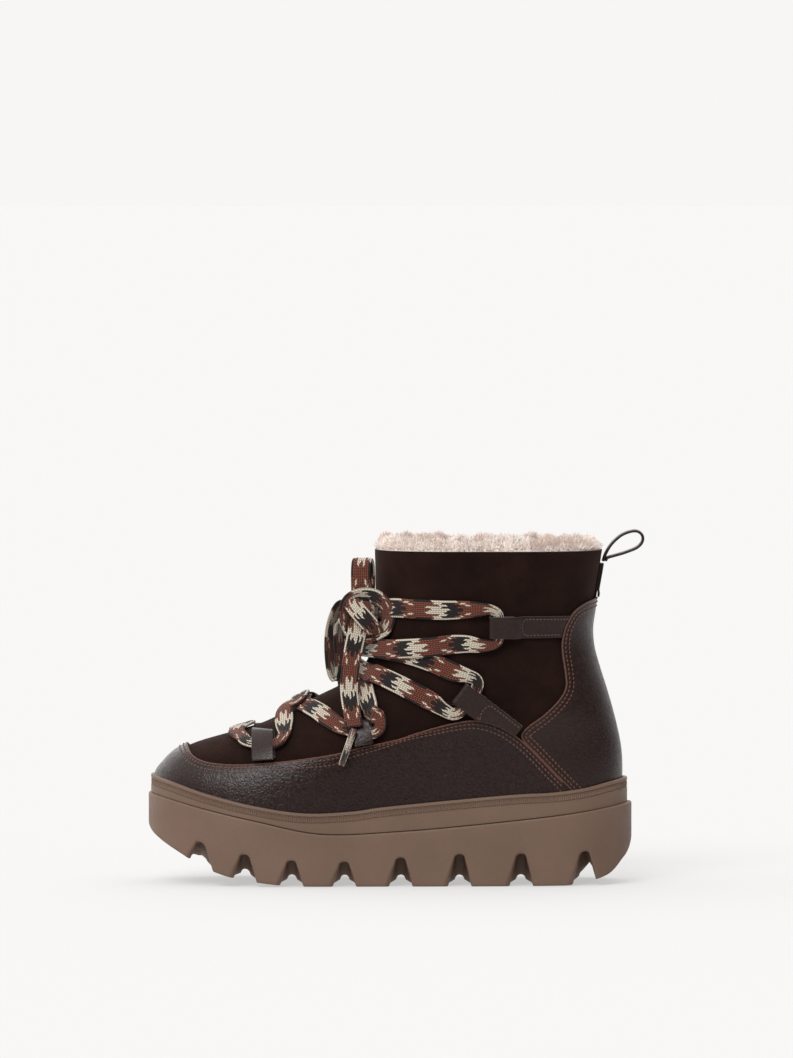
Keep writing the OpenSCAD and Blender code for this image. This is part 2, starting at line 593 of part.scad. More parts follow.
slider_z = 177;
slider_l = 12;
slider_w = 8.6;
bridge_z = 2;       // the pull's axis over the slider's middle
pin_r = 0.8;
pin_n = 4.2;        // height of the pull's axis over the body
pull_l = 24;        // length of the pull below its axis
module zip_slider() {
    color("#8a7f74") on_zip(slider_z) {
        translate([-slider_w / 2, 0.9, -slider_l / 2]) cube([slider_w, 1.6, slider_l]);
        translate([-slider_w / 2, -3.5, -slider_l / 2]) cube([slider_w, 1.2, slider_l]);
        translate([-0.4, -2.6, slider_l / 2 - 3]) cube([0.8, 4, 3]);
        difference() {
            translate([-1.2, 2.3, bridge_z - 3.4]) cube([2.4, pin_n - 0.1, 6.8]);
            translate([-2, pin_n - 1.2, bridge_z - 2.2]) cube([4, 2.4, 4.4]);
        }
    }
}
module zip_pull() {
    color("#4a3a33") on_zip(slider_z) translate([0, pin_n, bridge_z]) {
        rotate([0, 90, 0]) cylinder(r = pin_r, h = 6.4, center = true, $fn = 24);
        for (side = [-1, 1]) translate([side * 2.5 - 0.9, -0.7, -5.5]) cube([1.8, 1.4, 5.5]);
        difference() {
            hull() {
                translate([-3.4, -0.7, -8]) cube([6.8, 1.4, 3.2]);
                translate([0, 0.7, 4 - pull_l]) rotate([90, 0, 0]) cylinder(r = 4, h = 1.4, $fn = 32);
            }
            translate([0, 2, 4 - pull_l]) rotate([90, 0, 0]) cylinder(r = 1.5, h = 4, $fn = 24);
        }
    }
}

// ---- lace ----
rest_h = suede_t + 0.9 + lace_t / 2;                    // middle of the lace where it lies on the suede
held_h = lap_off + 0.15 + strap_t + 0.5 + lace_t / 2;   // inside a loop
over_h = rest_h + lace_t + 0.6;                         // over another pass
L = LATERAL;
M = MEDIAL;
// The lace runs in two halves, each from the knot to the middle of the toe.
// Points beside the boot are [side, x, z, height over the body, width]; points round the front are
// [turn, z, height over the body].
slim = 7;   // width of the lace where it bunches up in a loop
// Outer upper loop, over the front, inner diagonal loop, over the ridge, outer middle loop,
// over the toes, inner toe loop.
LACE_NEAR = [
    [L, 2, 157.8, rest_h], [L, 14, 157.4, rest_h], [L, 27, 157, rest_h], [L, 40, 157.4, rest_h],
    [L, 48, 158.2, held_h, 9], [L, 54, 158.6, held_h, slim], [L, 58.4, 156.4, held_h, slim],
    [L, 59.7, 151.6, held_h, slim], [L, 59.7, 147.3, held_h, slim], [L, 59.7, 143, held_h, slim],
    [L, 58.4, 138.2, held_h, slim], [L, 54, 136, held_h, slim], [L, 48, 136.4, held_h, 9],
    [L, 40, 137.6, rest_h], [L, 30, 137.4, rest_h], [L, 20, 136, over_h], [L, 10, 134.8, over_h],
    [L, 2, 133.8, over_h], [-30, 133.4, over_h], [-20, 133.2, over_h], [-10, 133, over_h],
    [0, 132.6, over_h], [10, 132, over_h], [20, 131, over_h], [30, 129.8, over_h],
    [M, 2.6, 130.2, rest_h + 1, 8], [M, 9, 128.2, held_h, slim], [M, 12, 124, held_h, slim],
    [M, 9.6, 119.6, held_h, slim], [M, 6.2, 115.4, held_h, slim], [M, 2.8, 111.2, held_h, slim],
    [M, -1.4, 107.2, held_h, slim], [M, -7, 108.2, rest_h + 0.4, 8], [M, -11.4, 112, rest_h + 0.9],
    [M, -16, 114.4, rest_h + 0.6], [20, 116.2, rest_h + 0.2], [10, 117.4, rest_h], [0, 118.4, rest_h],
    [-10, 118, rest_h], [-20, 116, rest_h + 0.2], [L, -17, 112.4, rest_h + 0.2],
    [L, -15, 107, rest_h + 0.4], [L, -12.4, 100.6, rest_h + 0.8], [L, -10, 95.6, rest_h + 0.6, 9],
    [L, -9.2, 90.8, held_h, slim], [L, -12, 86.8, held_h, slim], [L, -18.5, 85.6, held_h, slim],
    [L, -25, 86, held_h, slim], [L, -31, 88, rest_h + 0.5, 9], [L, -37, 92, rest_h],
    [L, -43, 96, rest_h], [-26, 98.4, rest_h], [-18, 99.2, rest_h], [-9, 100.2, rest_h + 0.2],
    [0, 101, rest_h + 0.2], [8, 100.2, rest_h + 0.2], [15, 98, rest_h], [M, -60, 95.4, rest_h],
    [M, -62.6, 89.4, rest_h], [M, -62.4, 84.4, rest_h + 0.6, 8], [M, -64.8, 79.4, held_h, slim],
    [M, -70.4, 77.2, held_h, slim], [M, -77, 77, held_h, slim], [M, -83.6, 77.8, held_h, slim],
    [M, -87.6, 81, rest_h + 0.4, 8], [9, 85, rest_h], [0, 86.6, rest_h]
];
// Inner upper loop, under the other half, outer diagonal strap, over the ridge, inner middle loop,
// over the toes, outer toe loop.
LACE_FAR = [
    [-7, 157.6, rest_h + 0.3], [2, 158, rest_h + 0.3], [11, 158, rest_h + 0.3], [20, 158, rest_h + 0.3],
    [28, 158, rest_h + 0.4], [37, 158, rest_h + 0.3], [M, -5, 158, rest_h], [M, 0, 158.2, rest_h],
    [M, 6, 158.8, rest_h + 0.6, 9], [M, 12, 158.8, held_h, slim],
    [M, 16.6, 156.2, held_h, slim], [M, 17.6, 151.4, held_h, slim], [M, 17.6, 147, held_h, slim],
    [M, 17.6, 142.6, held_h, slim], [M, 16, 137.6, held_h, slim], [M, 11, 135.6, rest_h + 0.8, 8],
    [M, 4, 136.6, rest_h], [28, 137.4, rest_h], [18, 137.4, rest_h], [9, 137, rest_h],
    [0, 136.4, rest_h], [-9, 135.6, rest_h], [-18, 134.6, rest_h], [-28, 133.4, rest_h],
    [-38, 132.6, rest_h + 0.2], [L, 6, 131.6, rest_h], [L, 14, 129.4, rest_h], [L, 23, 126, rest_h],
    [L, 32, 122, rest_h], [L, 40, 120, held_h, 8], [L, 45.4, 117.4, held_h, slim],
    [L, 45.4, 112, held_h, slim], [L, 41, 106.4, held_h, slim], [L, 37.2, 100.6, held_h, slim],
    [L, 32.4, 98, held_h, slim], [L, 26.4, 100.6, rest_h + 0.6, 8], [L, 19, 105.6, rest_h],
    [L, 9, 110.6, rest_h], [L, -1, 114.6, rest_h + 0.4], [L, -9, 117, over_h], [-28, 118, over_h],
    [-20, 118.8, over_h], [-10, 119.6, over_h], [0, 119.6, over_h], [10, 118.6, over_h],
    [20, 116.4, over_h], [M, -17, 112.4, over_h], [M, -15, 107, rest_h + 1],
    [M, -12.4, 100.6, rest_h + 0.8], [M, -10, 95.6, rest_h + 0.6, 9], [M, -9.2, 90.8, held_h, slim],
    [M, -12, 86.8, held_h, slim], [M, -18.5, 85.6, held_h, slim], [M, -25, 86, held_h, slim],
    [M, -31, 88, rest_h + 0.5, 9], [M, -37, 92, rest_h], [M, -43, 96, rest_h + 1], [26, 98.4, over_h],
    [18, 99.2, over_h], [9, 100.2, over_h + 0.2], [0, 101, over_h + 0.2], [-8, 100.2, over_h + 0.2],
    [-15, 98, over_h], [L, -60, 95.4, over_h], [L, -62.6, 89.4, rest_h + 0.6],
    [L, -62.4, 84.4, rest_h + 0.6, 8], [L, -64.8, 79.4, held_h, slim], [L, -70.4, 77.2, held_h, slim],
    [L, -77, 77, held_h, slim], [L, -83.6, 77.8, held_h, slim], [L, -87.6, 81, rest_h + 0.4, 8],
    [-9, 85, rest_h], [0, 86.6, rest_h]
];
function beside(p) = len(p) > 3;
function lace_turn(p) = beside(p) ? p[0] * turn_at(p[1], p[2]) : p[0];
function lace_z(p) = beside(p) ? p[2] : p[1];
function lace_h(p) = beside(p) ? p[3] : p[2];
module lace_half(path) {
    n = len(path);
    pts = [for (p = path) skin(lace_turn(p), lace_z(p), lace_h(p))];
    wide = [for (i = [0 : n - 1])
        cross(body_normal(lace_turn(path[i]), lace_z(path[i])), pts[min(i + 1, n - 1)] - pts[max(i - 1, 0)])];
    band(pts, wide, [for (p = path) is_undef(p[4]) ? lace_w : p[4]], lace_t);
}
module lace() {
    color("#8a4a38") lace_half(LACE_NEAR);
    color("#8a4a38") lace_half(LACE_FAR);
}

// Rounded bundle along a horizontal direction, in rings.
module bundle(centre, yaw, half, rings = 10, around = 14) {
    points = [for (i = [1 : rings - 1]) let(p = 180 * i / rings) for (j = [0 : around - 1])
        let(q = 360 * j / around) [-half[0] * cos(p), half[1] * sin(p) * cos(q), half[2] * sin(p) * sin(q)]];
    m = (rings - 1) * around;
    walls = [for (i = [0 : rings - 3]) for (j = [0 : around - 1])
        let(a = i * around + j, b = i * around + (j + 1) % around) each quad(a, a + around, b + around, b)];
    ends = [for (j = [0 : around - 1]) let(k = (j + 1) % around)
        each [[m, j, k], [m + 1, m - around + k, m - around + j]]];
    translate(centre) rotate([0, 0, yaw])
        polyhedron(concat(points, [[-half[0], 0, 0], [half[0], 0, 0]]), concat(walls, ends), convexity = 4);
}
knot = [-20, -21, 154.5];
module lace_knot() {
    color("#8a4a38") bundle(knot, 113, [17, 8, 11.5]);
}

function along_x(pts) = [for (p = pts) [1, 0, 0]];
BOW_NEAR = [
    [-19, -30, 166.2], [-19, -31.5, 172], [-19, -31, 179], [-19, -29, 183.6], [-19, -25.5, 184.8],
    [-19, -22.4, 182], [-19, -21.5, 176], [-19, -21.5, 170], [-19, -21, 166.8]
];
module bow_loop_near() {
    color("#8a4a38") band(BOW_NEAR, along_x(BOW_NEAR), lace_w, lace_t);
}
BOW_FAR = [
    [-31, -14, 160], [-35.5, -13.6, 154], [-38.6, -13.4, 144], [-39, -14, 132], [-37.6, -14.6, 121],
    [-34.4, -15, 116], [-32, -14.6, 121], [-32.6, -14, 132], [-33, -13.6, 142], [-31.8, -13, 147.4]
];
module bow_loop_far() {
    color("#8a4a38") band(BOW_FAR, all_y(BOW_FAR), lace_w, lace_t);
}
TAIL_NEAR = [
    [-22.4, -31, 144], [-24.6, -33, 134], [-26.4, -35, 122], [-27, -38.6, 111], [-25.6, -44, 100],
    [-24, -48.6, 91]
];
TAIL_FAR = [
    [-24.6, -2.6, 146], [-27.6, 4, 136], [-29, 16.4, 126], [-29, 29, 117], [-28.4, 40, 106],
    [-27, 48.4, 96], [-26.4, 50.4, 88]
];
module lace_tail_near() {
    color("#8a4a38") band(TAIL_NEAR, along_x(TAIL_NEAR), lace_w, lace_t);
}
module lace_tail_far() {
    color("#8a4a38") band(TAIL_FAR, along_x(TAIL_FAR), lace_w, lace_t);
}
aglet_r = 2;
module aglet(from, to) {
    d = to - from;
    color("#b9a58c") translate(from)
        rotate([0, acos(d[2] / norm(d)), atan2(d[1], d[0])]) cylinder(r = aglet_r, h = norm(d), $fn = 32);
}
module aglet_near() { aglet([-24, -49.2, 89.8], [-31.4, -50.6, 68.6]); }
module aglet_far() { aglet([-26.4, 50.8, 86.6], [-31, 51.2, 65.8]); }

outsole();
midsole();
shank();
insole_board();
footbed();
lining();
insulation();
collar_fur();
toe_puff();
heel_stiffener();
mudguard();
vamp();
shaft_front();
shaft_rear();
heel_counter();
strap_upper_lateral();
strap_diagonal_lateral();
loop_toe_lateral();
loop_mid_lateral();
loop_upper_medial();
loop_diagonal_medial();
loop_toe_medial();
loop_mid_medial();
pull_loop_base();
pull_loop();
zip_tape_front();
zip_tape_rear();
zip_teeth_front();
zip_teeth_rear();
zip_top_stops();
zip_bottom_stop();
zip_guard();
zip_slider();
zip_pull();
lace();
lace_knot();
bow_loop_near();
bow_loop_far();
lace_tail_near();
lace_tail_far();
aglet_near();
aglet_far();
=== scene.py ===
import math

import bpy
import numpy as np
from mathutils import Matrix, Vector


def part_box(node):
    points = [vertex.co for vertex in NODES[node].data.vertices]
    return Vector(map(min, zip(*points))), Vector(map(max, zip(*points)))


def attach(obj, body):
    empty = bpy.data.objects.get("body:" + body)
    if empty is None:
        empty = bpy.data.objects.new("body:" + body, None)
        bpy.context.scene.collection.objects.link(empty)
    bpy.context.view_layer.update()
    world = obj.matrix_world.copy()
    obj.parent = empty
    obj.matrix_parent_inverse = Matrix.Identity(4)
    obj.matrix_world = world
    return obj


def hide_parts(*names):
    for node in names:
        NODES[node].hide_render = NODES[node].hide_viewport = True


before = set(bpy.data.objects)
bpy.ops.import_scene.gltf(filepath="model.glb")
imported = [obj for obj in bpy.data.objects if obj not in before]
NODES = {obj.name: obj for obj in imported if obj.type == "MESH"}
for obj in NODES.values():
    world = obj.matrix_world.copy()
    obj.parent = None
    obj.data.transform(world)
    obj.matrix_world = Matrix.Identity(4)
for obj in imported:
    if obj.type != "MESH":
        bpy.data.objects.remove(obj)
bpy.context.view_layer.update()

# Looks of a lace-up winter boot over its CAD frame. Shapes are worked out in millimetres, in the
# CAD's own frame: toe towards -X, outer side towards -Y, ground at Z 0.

MM = 0.001
LATERAL, MEDIAL = -1, 1

# ---- sizes shared with the CAD ----
COLLAR_Z = 190
SUEDE_T = 1.4
LEATHER_T = 1.4
LAP_OFF = SUEDE_T + 0.4            # height over the body where a leather overlay starts
LEATHER_OFF = LAP_OFF + LEATHER_T
FOAM_OFF = -2.2
INSULATION_T = 2.2
LINING_OFF = FOAM_OFF - INSULATION_T - 0.3
PILE_OFF = LINING_OFF - 2
WELT_W = 2.4                       # how far the midsole stands out past the leather
OUTSOLE_STEP = 1.4                 # and the outsole past the midsole
HEEL_STRETCH = 2.2                 # extra length of the outsole behind the heel
PLAN_Z = 50                        # height at which the upper's outline in plan is taken
ZIP_X = 42
ZIP_LOW_Z = 96
LACE_W = 11
LACE_T = 2.2
STRAP_T = 1.3

# Side-view outline of the padded body: front and back lines as [z, x].
FRONT = [
    [30, -128], [44, -133.5], [55, -135.6], [61.5, -135.2], [66.7, -131.2], [71.6, -126.4],
    [74.2, -122.5], [76.6, -117.5], [79.2, -110.5], [82.1, -100.5], [84.8, -91], [89.2, -76.5],
    [96.5, -61], [105.9, -42], [111, -31.5], [117, -22.5], [125, -16], [135, -12.6],
    [150, -11], [170, -10.6], [190, -11],
]
BACK = [
    [30, 120], [44, 124.4], [58, 125.8], [70, 125.8], [80, 124.7], [95, 121.3], [110, 117],
    [122, 113.2], [134, 110], [145, 109.2], [155, 110.5], [165, 112], [178, 114.3], [190, 116.2],
]
# Half width of the foot, the line where the upper turns in, and the sole's lines: [x, ...].
FOOT_WIDTH = [
    [-140, 41.5], [-110, 43.5], [-75, 44.7], [-45, 43.7], [-15, 40.5], [15, 38.5], [42, 38],
    [80, 37], [130, 36],
]
FEATHER = [
    [-140, 49], [-118, 42], [-92, 35.5], [-55, 31], [-10, 32.5], [40, 38], [90, 43], [130, 46],
]
WALL_TOP = [
    [-145, 62.5], [-128, 58], [-109, 52.2], [-81, 45.5], [-52, 41.5], [-24, 42.5], [-10, 44.5],
    [40, 49.4], [69, 51.9], [89, 52.9], [108, 55.2], [122, 58.2], [135, 60.5],
]
SOLE_LINE = [
    [-145, 51.5], [-134, 49.5], [-108, 43], [-81, 37], [-43, 29.6], [2, 30.9], [49, 35],
    [99, 40.6], [138, 46.5],
]
TREAD = [
    [-145, 40], [-141, 31], [-135, 25.5], [-123, 18], [-110, 10.5], [-95, 5], [-75, 1.5], [-56, 0],
    [95, 0], [108, 1.8], [121, 6], [128, 13], [134, 23], [136, 40],
]
# Edges of the leather and of the suede panels. The inner side's differ from the outer side's only in part.
MUDGUARD_TOE = [[-119, 76], [-116, 71.5], [-111, 68.6], [-104, 67.2], [-90, 66.8]]
MUDGUARD_OUTER = MUDGUARD_TOE + [
    [-68, 68.8], [-52, 71.1], [-33, 74.5], [-19, 78.2], [2, 83], [10, 85.9], [30, 91.7],
    [42.5, 93.8], [50, 93.2], [59, 90.2], [69, 83.9], [79, 74.5], [89, 63.7], [99, 53.2], [106, 46],
]
MUDGUARD_INNER = MUDGUARD_TOE + [
    [-68, 68.5], [-52, 70.5], [-33, 73], [-19, 75.5], [2, 79], [20, 81.5], [35, 82.5], [50, 82],
    [60, 80], [70, 75.5], [79, 69], [89, 60], [99, 50.5], [104, 46],
]
SEAM_THROAT = [[-24, 117], [-10, 118.5]]
SEAM_FOOT = [[86, 46], [90, 40]]
SEAM = SEAM_THROAT + [[10, 112], [30, 103.5], [45, 97], [60, 87], [75, 66]] + SEAM_FOOT
SEAM_INNER = SEAM_THROAT + [[10, 108], [25, 95], [40, 85], [60, 76], [75, 60]] + SEAM_FOOT
COUNTER_HIGH = [
    [112, 95.2], [119, 95], [135, 92.8], [145, 93.9], [151, 96.3], [156, 99.6], [159.4, 104],
    [161.4, 108], [162.8, 112],
]
COUNTER_EDGE = [
    [40, 112.6], [53.4, 99.7], [63.7, 89.9], [74.5, 80], [84.5, 71.3], [90, 74.5], [97.2, 84],
    [105, 91.6],
] + COUNTER_HIGH
COUNTER_EDGE_INNER = [
    [40, 110.4], [50.5, 99.8], [60, 89.8], [69, 79.8], [76, 71.1], [82, 73.5], [92, 82], [103, 90],
] + COUNTER_HIGH


# ---- curves ----
def curve(k, pts):
    """Smooth curve through pts, held level past both ends."""
    keys, values = np.array(pts, float).T
    k = np.clip(k, keys[0], keys[-1])
    i = np.clip(np.searchsorted(keys, k, side="right") - 1, 0, len(keys) - 2)
    lean = np.empty_like(values)
    lean[1:-1] = (values[2:] - values[:-2]) / (keys[2:] - keys[:-2])
    lean[0] = (values[1] - values[0]) / (keys[1] - keys[0])
    lean[-1] = (values[-1] - values[-2]) / (keys[-1] - keys[-2])
    h = keys[i + 1] - keys[i]
    u = (k - keys[i]) / h
    v = 1 - u
    bend = h * u * v * (lean[i] * v - lean[i + 1] * u)
    return values[i] * v * v * (1 + 2 * u) + values[i + 1] * u * u * (1 + 2 * v) + bend


def mix(a, b, u):
    return a + (b - a) * u


def smooth(a, b, k):
    u = np.clip((k - a) / (b - a), 0, 1)
    return u * u * (3 - 2 * u)


def unit(v):
    return v / np.maximum(np.linalg.norm(v, axis=-1, keepdims=True), 1e-9)


def raised(line, dz):
    return [[x, z + dz] for x, z in line]


def through(points, per_span=8, closed=False):
    """Smooth line through rows of numbers, with per_span samples for each span."""
    p = np.array(points, float)
    before = np.vstack([p[-1:] if closed else 2 * p[:1] - p[1:2], p])
    after = p[:2] if closed else 2 * p[-1:] - p[-2:-1]
    p = np.vstack([before, after])
    spans = len(p) - 3
    t = np.arange(spans * per_span + (0 if closed else 1)) / per_span
    i = np.minimum(t.astype(int), spans - 1)
    u = (t - i)[:, None]
    a, b, c, d = p[i], p[i + 1], p[i + 2], p[i + 3]
    return 0.5 * (2 * b + (c - a) * u + (2 * a - 5 * b + 4 * c - d) * u**2
                  + (3 * b - a - 3 * c + d) * u**3)


def along(points):
    """Distance of each point from the start of its line."""
    return np.concatenate([[0], np.cumsum(np.linalg.norm(np.diff(points, axis=0), axis=1))])


def spaced(points, step, *others):
    """The line, and rows that go with it, taken again at even steps of about that length."""
    s = along(points)
    at = np.linspace(0, s[-1], max(3, int(round(s[-1] / step)) + 1))
    taken = [np.stack([np.interp(at, s, col) for col in np.array(rows, float).T], 1)
             for rows in (points, *others)]
    return taken if others else taken[0]


# ---- shape of the padded body ----
ROUND_DEPTH = 46
ROUND_POWER = 2.3
TOE_X = -40         # in front of this the foot's middle line swings inwards, at the tip by TOE_SWING
TOE_SWING = 6
EDGE_Z = (28.0, 140.0)      # heights that every edge line lies between
HALVINGS = 18               # of that range, to find where an edge is met
RIDGE_Z = np.arange(58, 148.1, 0.5)
RIDGE_X = np.maximum.accumulate(curve(RIDGE_Z, FRONT))


def ridge_z(x):
    """Height of the front line over x; behind the shaft's front there is none."""
    return np.interp(x, np.append(RIDGE_X, -10.9), np.append(RIDGE_Z, 1000))


def rounded(depth):
    """Share of the full width at a depth in from the body's front or back."""
    u = np.clip(depth / ROUND_DEPTH, 0, 1)
    return (1 - (1 - u) ** ROUND_POWER) ** (1 / ROUND_POWER)


def shaft_half(z):
    """Half width of the shaft, which widens evenly up to the collar."""
    return 38 + 6 * (z - 86) / 104


def half_width(x, z):
    dx = np.maximum(x - curve(z, FRONT), 0)
    dz = np.maximum(ridge_z(x) - z, 0.01)
    depth = dx * dz / np.maximum(np.sqrt(dx * dx + dz * dz), 1e-6)
    toe_in = 1 - 0.04 * np.maximum(0, (curve(x, FEATHER) + 12 - z) / 12) ** 2
    wide = mix(curve(x, FOOT_WIDTH), shaft_half(z), smooth(75, 100, z))
    return wide * toe_in * rounded(depth) * rounded(curve(z, BACK) - x)


def x_at(a, z):
    """Where the turn a round the boot at height z lies along X; turn_at is its opposite."""
    f, b = curve(z, FRONT), curve(z, BACK)
    return (f + b) / 2 - (b - f) / 2 * np.cos(np.radians(a))


def turn_at(x, z):
    f, b = curve(z, FRONT), curve(z, BACK)
    return np.degrees(np.arccos(np.clip(((f + b) / 2 - x) / ((b - f) / 2), -1, 1)))


def body(a, z):
    """Point at turn a (0 front, 180 back, positive on the inner side) and height z."""
    a, z = np.broadcast_arrays(np.asarray(a, float), np.asarray(z, float))
    x = x_at(a, z)
    mid_y = np.where(x < TOE_X, TOE_SWING * ((TOE_X - x) / 96) ** 2, 0)
    return np.stack([x, mid_y + np.sign(np.sin(np.radians(a))) * half_width(x, z), z], -1)


def body_normal(a, z):
    up = body(a, z + 0.8) - body(a, z - 0.8)
    round_it = body(a + 1.5, z) - body(a - 1.5, z)
    return unit(np.cross(up, round_it))


def skin(a, z, off):
    """Point at a distance out from the body."""
    a, z = np.asarray(a, float), np.asarray(z, float)
    return body(a, z) + np.asarray(off, float)[..., None] * body_normal(a, z)


def side_point(x, z, side, off):
    return skin(side * turn_at(x, z), z, off)


def meet(turn_of, edge, count):
    """Heights where count columns meet an edge given as [x, z]; turn_of gives their turns."""
    low, high = (np.full(count, z) for z in EDGE_Z)
    for _ in range(HALVINGS):
        m = (low + high) / 2
        below = m < curve(x_at(turn_of(m), m), edge)
        low, high = np.where(below, m, low), np.where(below, high, m)
    return (low + high) / 2


# ---- meshes ----
def grid_faces(rows, cols, wrap_cols=False, wrap_rows=False):
    """Quads of a grid whose rows go up and whose columns go round, facing out."""
    r, c = np.meshgrid(np.arange(rows if wrap_rows else rows - 1),
                       np.arange(cols if wrap_cols else cols - 1), indexing="ij")
    here, right = r * cols + c, r * cols + (c + 1) % cols
    up, up_right = (r + 1) % rows * cols + c, (r + 1) % rows * cols + (c + 1) % cols
    return np.stack([here, up, up_right, right], -1).reshape(-1, 4)


def placed(name, data):
    obj = bpy.data.objects.new(name, data)
    bpy.context.scene.collection.objects.link(obj)
    return obj


def piece(name, points, faces, materials, node=None, body_name="boot", uv=None, crease=40):
    """Mesh piece from points in millimetres. uv holds one row for each point."""
    mesh = bpy.data.meshes.new(name)
    faces = faces.tolist() if isinstance(faces, np.ndarray) else faces
    mesh.from_pydata((np.reshape(points, (-1, 3)) * MM).tolist(), [], faces)
    mesh.shade_smooth()
    mesh.set_sharp_from_angle(angle=math.radians(crease))
    for material in np.atleast_1d(materials):
        mesh.materials.append(material)
    if uv is not None:
        corners = np.zeros(len(mesh.loops), int)
        mesh.loops.foreach_get("vertex_index", corners)
        layer = mesh.uv_layers.new(name="Weave")
        layer.data.foreach_set("uv", np.reshape(uv, (-1, 2))[corners].astype(np.float32).ravel())
    obj = placed(name, mesh)
    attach(obj, body_name)
    if node:
        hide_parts(node)
    return obj


def soften(obj, width, segments=2, angle=60):
    """Round an object's edges that turn by more than an angle in degrees."""
    soft = obj.modifiers.new("edges", "BEVEL")
    soft.width = width * MM
    soft.segments = segments
    soft.limit_method = "ANGLE"
    soft.angle_limit = math.radians(angle)


def hide(name, grid, thick, materials, node, edge=0.45, angle=60, offset=-1):
    """Leather or suede with rounded cut edges. The grid is its outer face, or at offset 0 its middle."""
    obj = piece(name, grid, grid_faces(*grid.shape[:2]), materials, node)
    solid = obj.modifiers.new("thickness", "SOLIDIFY")
    solid.thickness = thick * MM
    solid.offset = offset
    solid.material_offset_rim = len(obj.data.materials) - 1
    soften(obj, edge, angle=angle)


def swept(line, across, out, profile):
    """Rings of a profile, rows of (across, out), carried along a line."""
    return line[:, None] + across[:, None] * profile[..., :1] + out[:, None] * profile[..., 1:2]


def tube_faces(rings, around):
    """Faces of a closed tube: its wall and its two ends."""
    wall = grid_faces(rings, around, wrap_cols=True).tolist()
    first = list(range(around))
    last = [(rings - 1) * around + i for i in reversed(first)]
    return wall + [first, last]


def bead(name, line, radius):
    """Thin round edge line with a slightly uneven thickness."""
    line = spaced(line, 0.8)
    ahead = unit(np.gradient(line, axis=0))
    side = unit(np.cross(ahead, [0.13, 0.21, 0.97]))
    turn = np.radians(np.arange(0, 360, 45))
    ring = np.stack([np.cos(turn), np.sin(turn)], -1)
    uneven = radius * (1 + 0.18 * np.sin(along(line) * 2.1) * np.sin(along(line) * 0.73))
    points = swept(line, side, np.cross(ahead, side), ring[None] * uneven[:, None, None])
    piece(name, points, tube_faces(len(line), len(ring)), RAW_EDGE)


STITCH_LONG = 0.72      # share of the pitch that a stitch takes up
STITCH_SLANT = 0.12


def stitches(name, rows, pitch=2.5, radius=0.42):
    """Rows of stitches. Each row is a line on the leather and the directions out of it."""
    turn, bow = np.meshgrid(np.radians(np.arange(0, 360, 60)), np.radians(np.arange(-75, 76, 37.5)))
    shape = np.stack([np.sin(bow), np.cos(bow) * np.cos(turn), np.cos(bow) * np.sin(turn)], -1)
    shape = shape * [pitch * STITCH_LONG / 2, radius, radius]
    rings, around = shape.shape[:2]
    wall = grid_faces(rings, around, wrap_cols=True)
    first = np.array([[0, 1, 2, 3], [0, 3, 4, 5]])
    one = np.concatenate([wall, first, first[:, ::-1] + (rings - 1) * around])
    points = []
    for line, out in rows:
        line, out = spaced(line, pitch, out)
        middle, ahead = (line[1:] + line[:-1]) / 2, unit(np.diff(line, axis=0))
        out = unit((out[1:] + out[:-1]) / 2)
        for m, a, s, o in zip(middle, ahead, np.cross(ahead, out), out):
            points.append(m + o * radius * 0.35 + shape @ np.array([a + s * STITCH_SLANT, s, o]))
    start = np.arange(len(points))[:, None, None] * rings * around
    piece(name, np.array(points), (one + start).reshape(-1, 4), STITCH)


# ---- materials ----
def linear(r, g, b):
    """Colour from screen values of 0 to 255."""
    return tuple(((c / 255 + 0.055) / 1.055) ** 2.4 if c > 10 else c / 255 / 12.92
                 for c in (r, g, b)) + (1,)


class Graph:
    """The nodes of a material or of the world, and a short way to write them."""

    def __init__(self, owner):
        owner.use_nodes = True
        self.owner = owner
        self.tree = owner.node_tree

    def add(self, kind, inputs=None, **settings):
        node = self.tree.nodes.new("ShaderNode" + kind)
        for key, value in settings.items():
            setattr(node, key, value)
        for key, value in (inputs or {}).items():
            self.put(node.inputs[key], value)
        return node

    def put(self, socket, value):
        if isinstance(value, bpy.types.NodeSocket):
            self.tree.links.new(value, socket)
        else:
            socket.default_value = value

    def math(self, operation, a, b=0.0, c=0.0):
        return self.add("Math", {0: a, 1: b, 2: c}, operation=operation).outputs[0]

    def plus(self, a, b):
        return self.math("ADD", a, b)

    def minus(self, a, b):
        return self.math("SUBTRACT", a, b)

    def times(self, a, b):
        return self.math("MULTIPLY", a, b)

    def most(self, a, b):
        return self.math("MAXIMUM", a, b)

    def between(self, value, low, high):
        """1 where the value is from low to high, else 0."""
        return self.times(self.math("GREATER_THAN", value, low), self.math("LESS_THAN", value, high))

    def blend(self, share, a, b):
        return self.add("Mix", {0: share, "A": a, "B": b}, data_type="RGBA").outputs["Result"]

    def ramp(self, value, low, high, out_low=0.0, out_high=1.0):
        limits = {"From Min": low, "From Max": high, "To Min": out_low, "To Max": out_high}
        return self.add("MapRange", {"Value": value, **limits}).outputs[0]

    def place(self):
        return self.add("TexCoord").outputs["Object"]

    def noise(self, scale, detail=2.0, rough=0.5):
        sockets = {"Vector": self.place(), "Scale": scale, "Detail": detail, "Roughness": rough}
        return self.add("TexNoise", sockets).outputs["Fac"]

    def bump(self, height, depth_mm, strength=1.0, normal=None):
        sockets = {"Height": height, "Distance": depth_mm * MM, "Strength": strength}
        if normal is not None:
            sockets["Normal"] = normal
        return self.add("Bump", sockets).outputs[0]

    def finish(self, colour, normal=None, roughness=None):
        """The material, with these values or nodes on its shader."""
        shader = self.tree.nodes["Principled BSDF"]
        for key, value in (("Base Color", colour), ("Normal", normal), ("Roughness", roughness)):
            if value is not None:
                self.put(shader.inputs[key], value)
        return self.owner

    def show(self, shader, output):
        """Send a shader node to the tree's output node."""
        self.tree.links.new(shader.outputs[0], self.tree.nodes[output].inputs["Surface"])


